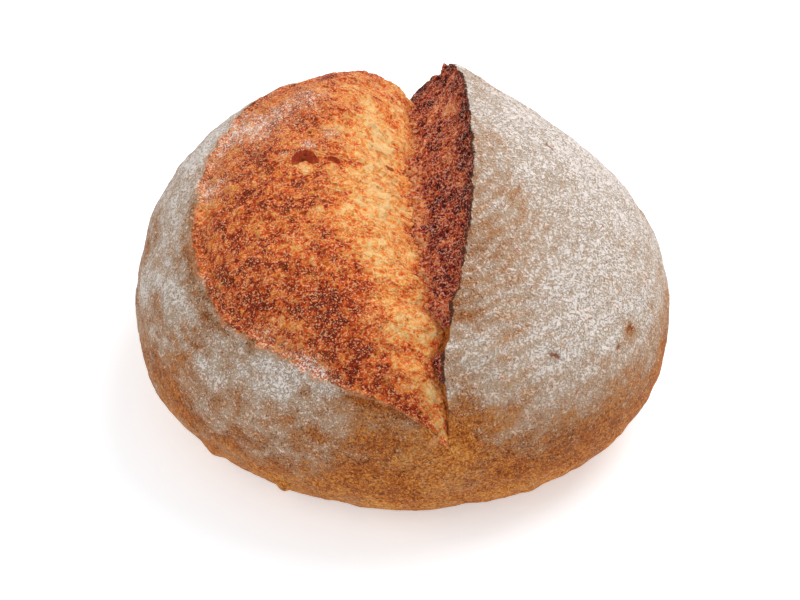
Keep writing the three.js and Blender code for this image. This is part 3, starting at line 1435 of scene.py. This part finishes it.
class Bench:
    """Lays out the nodes of one tree, so that a recipe reads as a few calls.

    WEB_ROUGH, WEB_OFFSET and WEB_LEVEL give a web the same middle and spread as a cloud, whose
    standard deviation is SPREAD.
    """

    SPREAD = 0.07
    WEB_ROUGH = 0.8
    WEB_OFFSET = 0.8
    WEB_LEVEL = (0.18, 0.36)

    def __init__(self, tree: bpy.types.NodeTree) -> None:
        """Starts on an empty tree."""
        self.tree = tree

    def add(self, kind: str, **settings: object) -> bpy.types.Node:
        """Adds a node.

        Args:
            kind: The node's type.
            **settings: Its properties and their values.

        Returns:
            The node.
        """
        node = self.tree.nodes.new(kind)
        for name, value in settings.items():
            setattr(node, name, value)
        return node

    def feed(self, socket: Socket, value: object) -> None:
        """Links another socket to this one, or sets its value.

        Args:
            socket: The socket to feed.
            value: The other socket, or a value.
        """
        if isinstance(value, bpy.types.NodeSocket):
            self.tree.links.new(value, socket)
        else:
            socket.default_value = value

    def read(self, name: str, vector: bool = False) -> Socket:
        """The value of one of the mesh's attributes."""
        node = self.add("ShaderNodeAttribute", attribute_name=name)
        return node.outputs["Vector" if vector else "Fac"]

    def stretch(self, where: Socket, factors: tuple[float, float, float]) -> Socket:
        """Coordinates, each multiplied by its factor.

        Args:
            where: The coordinates.
            factors: One factor for each.

        Returns:
            The stretched coordinates.
        """
        node = self.add("ShaderNodeVectorMath", operation="MULTIPLY")
        self.feed(node.inputs[0], where)
        self.feed(node.inputs[1], factors)
        return node.outputs[0]

    def cloud(self, where: Socket, cloud: Cloud) -> Socket:
        """Soft noise.

        Args:
            where: The coordinates that it lies on.
            cloud: Its size and its finer layers.

        Returns:
            Values round 0.5.
        """
        node = self.add("ShaderNodeTexNoise")
        self.feed(node.inputs["Vector"], where)
        self.feed(node.inputs["Scale"], 1 / cloud.size)
        self.feed(node.inputs["Detail"], cloud.detail)
        self.feed(node.inputs["Roughness"], cloud.rough)
        self.feed(node.inputs["Distortion"], cloud.warp)
        return node.outputs["Fac"]

    def sum(self, operation: str, first: object, second: object, clamp: bool = False) -> Socket:
        """One sum of two values.

        Args:
            operation: ADD, SUBTRACT, MULTIPLY, MAXIMUM or the like.
            first: The first value or socket.
            second: The second value or socket.
            clamp: Whether the result is kept between 0 and 1.

        Returns:
            The result.
        """
        node = self.add("ShaderNodeMath", operation=operation, use_clamp=clamp)
        self.feed(node.inputs[0], first)
        self.feed(node.inputs[1], second)
        return node.outputs[0]

    def web(self, where: Socket, size: float, swirl: float = 0.6) -> Socket:
        """A web of thin bright strands, with the same middle and spread as cloud.

        Args:
            where: The coordinates that it lies on.
            size: How wide its meshes are, in metres.
            swirl: How much the strands curl.

        Returns:
            Values round 0.5, higher on the strands.
        """
        node = self.add("ShaderNodeTexNoise", noise_type="RIDGED_MULTIFRACTAL")
        self.feed(node.inputs["Vector"], where)
        self.feed(node.inputs["Scale"], 1 / size)
        self.feed(node.inputs["Detail"], 3.0)
        self.feed(node.inputs["Roughness"], self.WEB_ROUGH)
        self.feed(node.inputs["Offset"], self.WEB_OFFSET)
        self.feed(node.inputs["Gain"], 2.0)
        self.feed(node.inputs["Distortion"], swirl)
        level = self.add("ShaderNodeMath", operation="MULTIPLY_ADD")
        self.feed(level.inputs[0], node.outputs["Fac"])
        self.feed(level.inputs[1], self.WEB_LEVEL[0])
        self.feed(level.inputs[2], self.WEB_LEVEL[1])
        return level.outputs[0]

    def sway(self, base: object, field: Socket, amount: float) -> Socket:
        """A value that a noise field pushes up and down.

        Args:
            base: The value.
            field: The noise, round 0.5.
            amount: The standard deviation of the push.

        Returns:
            The swayed value.
        """
        node = self.add("ShaderNodeMath", operation="MULTIPLY_ADD")
        self.feed(node.inputs[0], self.sum("SUBTRACT", field, 0.5))
        self.feed(node.inputs[1], amount / self.SPREAD)
        self.feed(node.inputs[2], base)
        return node.outputs[0]

    def clouded(self, base: object, where: Socket, clouds: tuple[Cloud, ...]) -> Socket:
        """A value that layers of soft noise push up and down.

        Args:
            base: The value.
            where: The coordinates that the noise lies on.
            clouds: The layers.

        Returns:
            The swayed value.
        """
        for cloud in clouds:
            base = self.sway(base, self.cloud(where, cloud), cloud.sway)
        return base

    def product(self, *factors: object) -> Socket:
        """Several values multiplied.

        Args:
            *factors: The values or sockets.

        Returns:
            Their product.
        """
        return reduce(partial(self.sum, "MULTIPLY"), factors)

    def total(self, *values: object) -> Socket:
        """Several values added up.

        Args:
            *values: The values or sockets.

        Returns:
            Their total.
        """
        return reduce(partial(self.sum, "ADD"), values)

    def window(self, value: Socket, window: Window) -> Socket:
        """How far a value has come through a window.

        Args:
            value: The value.
            window: Where it begins to show and where it shows in full.

        Returns:
            0 before the window, 1 beyond it, and smooth between them.
        """
        node = self.add("ShaderNodeMapRange", interpolation_type="SMOOTHSTEP")
        self.feed(node.inputs["Value"], value)
        self.feed(node.inputs["From Min"], window.low)
        self.feed(node.inputs["From Max"], window.high)
        return node.outputs["Result"]

    def blend(self, factor: object, first: object, second: object) -> Socket:
        """A colour between two others.

        Args:
            factor: How far it lies towards the second, from 0 to 1.
            first: The first colour.
            second: The second.

        Returns:
            The colour.
        """
        node = self.add("ShaderNodeMix", data_type="RGBA")
        self.feed(node.inputs[0], factor)
        self.feed(node.inputs[6], first)
        self.feed(node.inputs[7], second)
        return node.outputs[2]

    def between(self, factor: object, first: object, second: object) -> Socket:
        """A value between two others.

        Args:
            factor: How far it lies towards the second, from 0 to 1.
            first: The first value.
            second: The second.

        Returns:
            The value.
        """
        node = self.add("ShaderNodeMix", data_type="FLOAT")
        self.feed(node.inputs[0], factor)
        self.feed(node.inputs[2], first)
        self.feed(node.inputs[3], second)
        return node.outputs[0]

    def ramp(self, value: Socket, stops: tuple[tuple[float, Rgba], ...]) -> Socket:
        """A colour picked from a ramp.

        Args:
            value: Where on the ramp, from 0 to 1.
            stops: Places on the ramp and their colours.

        Returns:
            The colour.
        """
        node = self.add("ShaderNodeValToRGB")
        elements = node.color_ramp.elements
        elements[0].position = stops[0][0]
        elements[0].color = stops[0][1]
        elements[1].position = stops[-1][0]
        elements[1].color = stops[-1][1]
        for place, colour in stops[1:-1]:
            element = elements.new(place)
            element.color = colour
        self.feed(node.inputs["Fac"], value)
        return node.outputs["Color"]

    def use(self, group: bpy.types.NodeTree, **values: object) -> bpy.types.Node:
        """Places a group.

        Args:
            group: The group.
            **values: What its inputs are fed, by their names in small letters.

        Returns:
            The group's node.
        """
        node = self.add("ShaderNodeGroup", node_tree=group)
        for name, value in values.items():
            self.feed(node.inputs[name.replace("_", " ").title()], value)
        return node


@dataclass(frozen=True)
class Recipe:
    """The start of a node group: its name, inputs and outputs, each with its socket type."""

    name: str
    takes: tuple[tuple[str, str], ...]
    gives: tuple[tuple[str, str], ...]

    def start(self) -> tuple[bpy.types.NodeTree, Bench, dict[str, Socket], bpy.types.Node]:
        """Makes the empty group.

        Returns:
            The group, a bench on it, its inputs by name and its output node.
        """
        tree = bpy.data.node_groups.new(self.name, "ShaderNodeTree")
        for label, kind in self.takes:
            tree.interface.new_socket(label, in_out="INPUT", socket_type=kind)
        for label, kind in self.gives:
            tree.interface.new_socket(label, in_out="OUTPUT", socket_type=kind)
        bench = Bench(tree)
        source = bench.add("NodeGroupInput")
        target = bench.add("NodeGroupOutput")
        return tree, bench, {label: source.outputs[label] for label, _ in self.takes}, target


FLOAT = "NodeSocketFloat"
COLOUR = "NodeSocketColor"
VECTOR = "NodeSocketVector"
WAVE_UNIT = 2 * math.pi / 20
LOOK = (("Colour", COLOUR), ("Roughness", FLOAT), ("Height", FLOAT))


@dataclass(frozen=True)
class FlourDust:
    """Flour that lies as a haze, thickens to clumps and thins out to single grains."""

    light: Rgba = seen(248, 236, 228)
    thin: Rgba = seen(234, 176, 126)
    haze: Rgba = seen(212, 191, 167)
    film: Rgba = seen(178, 132, 90)
    crack: Rgba = seen(124, 80, 48)
    mottle: tuple[Cloud, ...] = (Cloud(0.018, 0.03, 2, 0.5), Cloud(0.0050, 0.025, 3, 0.6, 0.5))
    crackle: float = 0.0021
    crackle_sway: float = -0.15
    grains: tuple[Cloud, ...] = (Cloud(0.0012, 0.12, 3, 0.8), Cloud(0.00066, 0.14, 1, 0.5))
    veil_grain: Cloud = Cloud(0.0008, 0.08, 2, 0.7)
    veil_window: Window = Window(0.14, 0.46)
    cover_window: Window = Window(0.37, 0.80)
    depth_window: Window = Window(0.18, 0.66)
    split_window: Window = Window(0.55, 0.68)
    split_share: float = 0.8

    def group(self) -> bpy.types.NodeTree:
        """Makes the group.

        Returns:
            A group that lays flour over a colour, by an amount and a haze from 0 to 1.
        """
        takes = (("Place", VECTOR), ("Amount", FLOAT), ("Haze", FLOAT), ("Under", COLOUR))
        gives = (("Colour", COLOUR), ("Cover", FLOAT))
        tree, bench, given, result = Recipe("flour dust", takes, gives).start()
        place = given["Place"]
        broad = bench.clouded(given["Amount"], place, self.mottle)
        cracks = bench.web(place, self.crackle)
        grains = bench.clouded(bench.sway(broad, cracks, self.crackle_sway), place, self.grains)
        veil = bench.window(bench.clouded(broad, place, (self.veil_grain,)), self.veil_window)
        veil = bench.product(veil, given["Haze"])
        cover = bench.window(grains, self.cover_window)
        depth = bench.window(broad, self.depth_window)
        colour = bench.blend(veil, given["Under"], bench.blend(depth, self.film, self.haze))
        colour = bench.blend(cover, colour, bench.blend(depth, self.thin, self.light))
        split = bench.product(bench.window(cracks, self.split_window), veil, self.split_share)
        bench.feed(result.inputs["Colour"], bench.blend(split, colour, self.crack))
        bench.feed(result.inputs["Cover"], cover)
        return tree


@dataclass(frozen=True)
class SkinFinish:
    """Baked skin: ochre to dark brown under flour, with faint rings from the proving basket."""

    stops: tuple[tuple[float, Rgba], ...] = (
        (0.0, seen(230, 168, 88)),
        (0.3, seen(206, 122, 42)),
        (0.6, seen(160, 78, 22)),
        (1.0, seen(84, 38, 12)),
    )
    mottle: tuple[Cloud, ...] = (
        Cloud(0.016, 0.05),
        Cloud(0.0030, 0.06, 3, 0.7),
        Cloud(0.0010, 0.13, 2, 0.8),
    )
    crackle: float = 0.0018
    crackle_sway: float = -0.11
    ring_pitch: float = 0.0052
    ring_waver: float = 5.0
    ring_waver_size: float = 1.2
    ring_sway: float = 0.006
    haze: float = 0.92
    bare_rough: float = 0.72
    floured_rough: float = 0.95
    flour_height: float = 0.5
    pores: Cloud = Cloud(0.00065, 0, 2, 0.7)
    pimples: Cloud = Cloud(0.0024, 0)
    pimple_height: float = 1.3

    def group(self, flour: bpy.types.NodeTree) -> bpy.types.NodeTree:
        """Makes the group.

        Args:
            flour: The flour group.

        Returns:
            A group that gives the skin's colour, roughness and height.
        """
        takes = (("Place", VECTOR), ("Heat", FLOAT), ("Flour", FLOAT))
        tree, bench, given, result = Recipe("baked skin", takes, LOOK).start()
        place = given["Place"]
        tone = bench.clouded(given["Heat"], place, self.mottle)
        tone = bench.sway(tone, bench.web(place, self.crackle), self.crackle_sway)
        crust = bench.ramp(tone, self.stops)
        wave = bench.add("ShaderNodeTexWave", wave_type="RINGS", rings_direction="Z", wave_profile="SIN")
        bench.feed(wave.inputs["Vector"], place)
        bench.feed(wave.inputs["Scale"], WAVE_UNIT / self.ring_pitch)
        bench.feed(wave.inputs["Distortion"], self.ring_waver)
        bench.feed(wave.inputs["Detail"], 3.0)
        bench.feed(wave.inputs["Detail Scale"], self.ring_waver_size)
        amount = bench.sway(given["Flour"], wave.outputs["Fac"], self.ring_sway)
        dusted = bench.use(flour, place=place, amount=amount, haze=self.haze, under=crust)
        cover = dusted.outputs["Cover"]
        flour_height = bench.product(cover, self.flour_height)
        pimples = bench.product(bench.cloud(place, self.pimples), self.pimple_height)
        height = bench.total(flour_height, bench.cloud(place, self.pores), pimples)
        bench.feed(result.inputs["Colour"], dusted.outputs["Colour"])
        bench.feed(result.inputs["Roughness"], bench.between(cover, self.bare_rough, self.floured_rough))
        bench.feed(result.inputs["Height"], height)
        return tree


# Fine noise that scatters the painted highlight specks on the bloom and the torn face.
PAINTED_GLINT_SPECKS = Cloud(0.00066, 0.08, 1, 0.5)


@dataclass(frozen=True)
class CrumbThreads:
    """The threads of opened dough: how big they are, and how far each kind moves the crust's colour.

    The strands are drawn out along the tear, the grain lies every way, and the flecks are the finest.
    The strands and the grain, which also stand out in the bump, turn the crust paler: partly their own
    paler crumb, partly a painted highlight. The field after fleck_sway is how far the strands that stand
    out from the mesh are painted paler, as a highlight, and its pits darker, as painted shade.
    """

    strand: float
    swirl: float
    strand_sway: float
    grain: float
    grain_sway: float
    fleck_sway: float
    # How far the mesh's raised strands are painted paler, as a highlight, and its pits darker, as shade.
    ridge_light_and_pit_shade: float
    drawn_out: tuple[float, float, float] = (0.6, 1.0, 1.0)
    fleck: Cloud = Cloud(0.0009, 0, 2, 0.7)
    level: float = 0.4

    def draw(
        self, bench: Bench, given: dict[str, Socket], heat: Socket
    ) -> tuple[Socket, Socket, Socket, Socket]:
        """Draws the threads.

        Args:
            bench: The finish's bench.
            given: The finish's inputs.
            heat: The heat so far.

        Returns:
            The heat with the threads in it, the strands, the grain and the flecks.
        """
        place = given["Place"]
        strands = bench.web(bench.stretch(given["Grain"], self.drawn_out), self.strand, self.swirl)
        grain = bench.web(place, self.grain)
        flecks = bench.cloud(place, self.fleck)
        # Strands and grain, raised in the bump, turn the crust paler: partly their own crumb, partly a
        # painted highlight.
        heat = bench.sway(heat, strands, self.strand_sway)
        heat = bench.sway(heat, grain, self.grain_sway)
        heat = bench.sway(heat, flecks, self.fleck_sway)
        # Painted highlight on the strands that stand out from the mesh, painted shade in its pits.
        painted_ridge_light_and_pit_shade = bench.product(bench.sum("SUBTRACT", given["Web"], self.level), self.ridge_light_and_pit_shade)
        return bench.sum("SUBTRACT", heat, painted_ridge_light_and_pit_shade), strands, grain, flecks


@dataclass(frozen=True)
class BloomFinish:
    """Opened dough: a web of fine strands, gold by the trough and red brown where it swelled most, with
    painted highlight specks.
    """

    stops: tuple[tuple[float, Rgba], ...] = (
        (0.0, seen(240, 200, 136)),
        (0.2, seen(236, 168, 88)),
        (0.38, seen(232, 138, 58)),
        (0.54, seen(220, 110, 44)),
        (0.70, seen(204, 82, 28)),
        (0.84, seen(168, 52, 14)),
        (1.0, seen(120, 32, 6)),
    )
    mottle: tuple[Cloud, ...] = (Cloud(0.016, 0.07, 4, 0.6, 0.5), Cloud(0.0056, 0.095, 3, 0.6, 0.5))
    threads: CrumbThreads = CrumbThreads(0.0040, 1.2, -0.11, 0.0021, -0.11, 0.05, 0.16)
    # Painted highlight: pale glint specks blended over the crust's colour on the crumb's web.
    glint: Rgba = seen(248, 194, 146)
    glint_window: Window = Window(0.575, 0.68)
    glint_share: float = 0.68
    haze: float = 0.15
    bare_rough: float = 0.60
    floured_rough: float = 0.92
    strand_height: float = 1.8
    grain_height: float = 1.1
    fleck_height: float = 0.4
    pale_height: float = 0.60
    baked_window: Window = Window(0.20, 0.50)

    def group(self, flour: bpy.types.NodeTree) -> bpy.types.NodeTree:
        """Makes the group.

        Args:
            flour: The flour group.

        Returns:
            A group that gives the bloom's colour, roughness and height.
        """
        takes = (("Place", VECTOR), ("Grain", VECTOR), ("Heat", FLOAT), ("Web", FLOAT), ("Flour", FLOAT))
        tree, bench, given, result = Recipe("opened bloom", takes, LOOK).start()
        place = given["Place"]
        heat = bench.clouded(given["Heat"], place, self.mottle)
        heat, strands, web, fleck = self.threads.draw(bench, given, heat)
        # Painted highlight specks on the crumb's web.
        painted_glint = bench.window(bench.clouded(web, place, (PAINTED_GLINT_SPECKS,)), self.glint_window)
        painted_glint = bench.product(painted_glint, self.glint_share)
        baked = bench.blend(painted_glint, bench.ramp(heat, self.stops), self.glint)
        dusted = bench.use(flour, place=place, amount=given["Flour"], haze=self.haze, under=baked)
        height = bench.total(
            bench.product(strands, self.strand_height),
            bench.product(web, self.grain_height),
            bench.product(fleck, self.fleck_height),
        )
        rise = bench.between(bench.window(given["Heat"], self.baked_window), self.pale_height, 1.0)
        rough = bench.between(dusted.outputs["Cover"], self.bare_rough, self.floured_rough)
        bench.feed(result.inputs["Colour"], dusted.outputs["Colour"])
        bench.feed(result.inputs["Roughness"], rough)
        bench.feed(result.inputs["Height"], bench.product(height, rise))
        return tree


@dataclass(frozen=True)
class TornFinish:
    """The torn face under the ear: dark, rough crumb with painted highlight specks on it."""

    stops: tuple[tuple[float, Rgba], ...] = (
        (0.0, seen(246, 180, 118)),
        (0.2, seen(230, 126, 60)),
        (0.4, seen(204, 86, 44)),
        (0.6, seen(164, 54, 36)),
        (0.8, seen(106, 30, 25)),
        (1.0, seen(58, 16, 14)),
    )
    mottle: tuple[Cloud, ...] = (Cloud(0.009, 0.13, 4, 0.6, 0.5),)
    threads: CrumbThreads = CrumbThreads(0.0034, 0.9, -0.08, 0.0019, -0.17, 0.11, 0.24)
    # Painted highlight: pale glint specks over the dark crumb.
    glint: Rgba = seen(242, 184, 158)
    glint_window: Window = Window(0.56, 0.67)
    glint_share: float = 0.8
    pale_rough: float = 0.55
    charred_rough: float = 0.8
    strand_height: float = 1.8
    grain_height: float = 1.6

    def group(self) -> bpy.types.NodeTree:
        """Makes the group.

        Returns:
            A group that gives the torn face's colour, roughness and height.
        """
        takes = (("Place", VECTOR), ("Grain", VECTOR), ("Heat", FLOAT), ("Web", FLOAT))
        tree, bench, given, result = Recipe("torn crumb", takes, LOOK).start()
        place = given["Place"]
        char = bench.clouded(given["Heat"], place, self.mottle)
        char, rags, crumbs, _ = self.threads.draw(bench, given, char)
        # Painted highlight specks on the crumb's web.
        painted_glint = bench.window(bench.clouded(crumbs, place, (PAINTED_GLINT_SPECKS,)), self.glint_window)
        torn = bench.blend(bench.product(painted_glint, self.glint_share), bench.ramp(char, self.stops), self.glint)
        rags = bench.product(rags, self.strand_height)
        crumbs = bench.product(crumbs, self.grain_height)
        bench.feed(result.inputs["Colour"], torn)
        bench.feed(result.inputs["Roughness"], bench.between(char, self.pale_rough, self.charred_rough))
        bench.feed(result.inputs["Height"], bench.total(rags, crumbs))
        return tree


@dataclass(frozen=True)
class CrustFinish:
    """The whole loaf's crust, which blends its zones by what is written on the mesh."""

    charred: Rgba = seen(92, 52, 34)
    lip_colour: Rgba = seen(230, 164, 116)
    # Painted shade: the dark red of a burst bubble's back wall under its overhang, over bared crumb.
    shaded_wall: Rgba = seen(156, 48, 28)
    scar: Rgba = seen(186, 112, 70)
    sole_light: Rgba = seen(178, 124, 76)
    sole_dark: Rgba = seen(112, 66, 34)
    fray: Cloud = Cloud(0.0018, 0, 3, 0.7)
    crumble: Cloud = Cloud(0.005, 0.14)
    lip_gaps: Cloud = Cloud(0.007, 0.12, 2)
    sole_mottle: Cloud = Cloud(0.010, 0.12, 4, 0.65)
    sole_edge: Cloud = Cloud(0.008, 0.06)
    bloom_window: Window = Window(0.32, 0.68)
    torn_window: Window = Window(0.38, 0.62)
    rim_window: Window = Window(0.40, 1.00)
    lip_window: Window = Window(0.45, 1.1)
    mark_window: Window = Window(0.35, 0.65)
    sole_window: Window = Window(0.3, 0.9)
    bloom_fray: float = 0.16
    torn_fray: float = 0.06
    rim_fray: float = 0.20
    lip_fray: float = 0.10
    mark_fray: float = 0.03
    sole_fray: float = 0.12
    lip_share: float = 0.50
    mark_share: float = 0.85
    sole_share: float = 0.8
    bump_depth: float = 0.0010
    specular: float = 0.16

    def material(self) -> bpy.types.Material:
        """Makes the material.

        Returns:
            The crust.
        """
        crust = bpy.data.materials.new("sourdough crust")
        crust.use_nodes = True
        crust.node_tree.nodes.clear()
        bench = Bench(crust.node_tree)
        place = bench.add("ShaderNodeTexCoord").outputs["Object"]
        zone = {z: bench.read(z.value) for z in Zone}
        grain = bench.read(GRAIN, vector=True)
        flour = FlourDust().group()
        # The heat carries painted shade at the bottom of the trough.
        shared = {"place": place, "heat": zone[Zone.HEAT_AND_TROUGH_SHADE]}
        # The web carries the mesh's strands and painted shade in its pits.
        opened_dough = {"grain": grain, "web": zone[Zone.STRANDS_AND_PIT_SHADE]}
        skin = bench.use(SkinFinish().group(flour), flour=zone[Zone.FLOUR], **shared)
        bloom = bench.use(BloomFinish().group(flour), flour=zone[Zone.FLOUR], **shared, **opened_dough)
        torn = bench.use(TornFinish().group(), **shared, **opened_dough)
        fray = bench.cloud(place, self.fray)
        crumbled = bench.sway(zone[Zone.BLOOM], fray, self.bloom_fray)
        bloom_edge = bench.window(bench.clouded(crumbled, place, (self.crumble,)), self.bloom_window)
        torn_edge = bench.window(bench.sway(zone[Zone.TORN], fray, self.torn_fray), self.torn_window)
        look = {}
        for part in ("Colour", "Roughness", "Height"):
            pick = bench.blend if part == "Colour" else bench.between
            opened = pick(bloom_edge, skin.outputs[part], bloom.outputs[part])
            look[part] = pick(torn_edge, opened, torn.outputs[part])
        colour = self.trim(bench, look["Colour"], zone, fray, place)
        relief = bench.add("ShaderNodeBump")
        bench.feed(relief.inputs["Distance"], self.bump_depth)
        bench.feed(relief.inputs["Strength"], 1.0)
        bench.feed(relief.inputs["Height"], look["Height"])
        shader = bench.add("ShaderNodeBsdfPrincipled")
        bench.feed(shader.inputs["Base Color"], colour)
        bench.feed(shader.inputs["Roughness"], look["Roughness"])
        bench.feed(shader.inputs["Normal"], relief.outputs["Normal"])
        bench.feed(shader.inputs["Specular IOR Level"], self.specular)
        output = bench.add("ShaderNodeOutputMaterial")
        bench.feed(output.inputs["Surface"], shader.outputs["BSDF"])
        return crust

    def trim(
        self, bench: Bench, colour: Socket, zone: dict[Zone, Socket], fray: Socket, place: Socket
    ) -> Socket:
        """Adds the edges and the marks to the colour.

        Args:
            bench: The material's bench.
            colour: The colour so far.
            zone: The zones' values.
            fray: Noise that frays every edge.
            place: The coordinates.

        Returns:
            The finished colour.
        """
        rim = bench.window(bench.sway(zone[Zone.RIM], fray, self.rim_fray), self.rim_window)
        colour = bench.blend(rim, colour, self.charred)
        broken = bench.clouded(bench.sway(zone[Zone.LIP], fray, self.lip_fray), place, (self.lip_gaps,))
        lip = bench.product(bench.window(broken, self.lip_window), self.lip_share)
        colour = bench.blend(lip, colour, self.lip_colour)
        # Marks: a scar's own colour, and on the bloom a burst bubble's back wall painted dark as shade.
        marked = bench.window(bench.sway(zone[Zone.SCARS_AND_WALL_SHADE], fray, self.mark_fray), self.mark_window)
        scar_and_wall_shade = bench.blend(zone[Zone.BLOOM], self.scar, self.shaded_wall)
        colour = bench.blend(bench.product(marked, self.mark_share), colour, scar_and_wall_shade)
        baked = bench.sway(bench.clouded(0.5, place, (self.sole_mottle,)), fray, self.sole_fray)
        sole = bench.blend(baked, self.sole_light, self.sole_dark)
        edge = bench.window(bench.clouded(zone[Zone.SOLE], place, (self.sole_edge,)), self.sole_window)
        return bench.blend(bench.product(edge, self.sole_share), colour, sole)


# ---------------------------------------------------------------- the studio


@dataclass(frozen=True)
class Lamp:
    """A soft panel light, by its place, size and power."""

    name: str
    place: tuple[float, float, float]
    size: float
    power: float


@dataclass(frozen=True)
class Studio:
    """A plain pale table under soft light, seen from the front and well above."""

    elevation: float = 48.0
    distance: float = 1.1
    lens: float = 120.6
    sensor: float = 36.0
    clip: tuple[float, float] = (0.01, 20)
    aim: tuple[float, float, float] = (-0.0010, -0.0075, 0.0411)
    lit: tuple[float, float, float] = (0, 0, 0.05)
    floor_side: float = 6.0
    sky: float = 0.56
    glow: float = 0.40
    table: Rgba = (0.87, 0.92, 0.96, 1.0)
    table_rough: float = 0.9
    table_specular: float = 0.1
    white: Rgba = (1.0, 1.0, 1.0, 1.0)
    lamps: tuple[Lamp, ...] = (
        Lamp("key", (0.50, 0.40, 1.00), 0.9, 9.5),
        Lamp("fill", (-0.70, -0.45, 0.90), 0.9, 2.6),
    )

    def camera(self) -> bpy.types.Object:
        """Sets up the camera.

        Returns:
            The camera.
        """
        tilt = math.radians(self.elevation)
        away = Vector((0, -math.cos(tilt), math.sin(tilt))) * self.distance
        data = bpy.data.cameras.new("camera")
        data.lens = self.lens
        data.sensor_width = self.sensor
        data.clip_start, data.clip_end = self.clip
        camera = bpy.data.objects.new("camera", data)
        camera.location = Vector(self.aim) + away
        camera.rotation_euler = (-away).to_track_quat("-Z", "Y").to_euler()
        bpy.context.scene.collection.objects.link(camera)
        bpy.context.scene.camera = camera
        return camera

    def lights(self) -> None:
        """Hangs the lamps, each turned to the loaf, and lights the room."""
        for lamp in self.lamps:
            data = bpy.data.lights.new(lamp.name, "AREA")
            data.shape = "DISK"
            data.size = lamp.size
            data.energy = lamp.power
            light = bpy.data.objects.new(lamp.name, data)
            light.location = lamp.place
            towards = Vector(self.lit) - Vector(lamp.place)
            light.rotation_euler = towards.to_track_quat("-Z", "Y").to_euler()
            bpy.context.scene.collection.objects.link(light)
        world = bpy.data.worlds.new("room")
        world.use_nodes = True
        background = world.node_tree.nodes["Background"]
        background.inputs["Color"].default_value = self.white
        background.inputs["Strength"].default_value = self.sky
        bpy.context.scene.world = world
        bpy.context.scene.view_settings.view_transform = "Standard"

    def floor(self) -> bpy.types.Object:
        """Lays the table top under the loaf.

        Returns:
            The table top.
        """
        nothing_selected()
        bpy.ops.mesh.primitive_plane_add(size=self.floor_side, location=(0, 0, 0))
        floor = bpy.context.object
        floor.name = "floor"
        paint = bpy.data.materials.new("pale table")
        paint.use_nodes = True
        shader = paint.node_tree.nodes["Principled BSDF"]
        shader.inputs["Base Color"].default_value = self.table
        shader.inputs["Roughness"].default_value = self.table_rough
        shader.inputs["Specular IOR Level"].default_value = self.table_specular
        shader.inputs["Emission Color"].default_value = self.white
        shader.inputs["Emission Strength"].default_value = self.glow
        floor.data.materials.append(paint)
        return floor


def main() -> None:
    """Builds the studio and the loaf."""
    logging.basicConfig(level=logging.INFO, format="%(name)s: %(message)s")
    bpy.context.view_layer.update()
    studio = Studio()
    studio.camera()
    studio.lights()
    studio.floor()
    LOG.info("studio: camera, %d lamps and a floor", len(studio.lamps))
    baker = Loaf(LoafForm())
    crust = CrustFinish().material()
    for part, piece in baker.build().items():
        baker.dress(piece, crust)
        LOG.info("%s: %d points, %d faces", part.value, len(piece.data.vertices), len(piece.data.polygons))


if __name__ == "__main__":
    main()
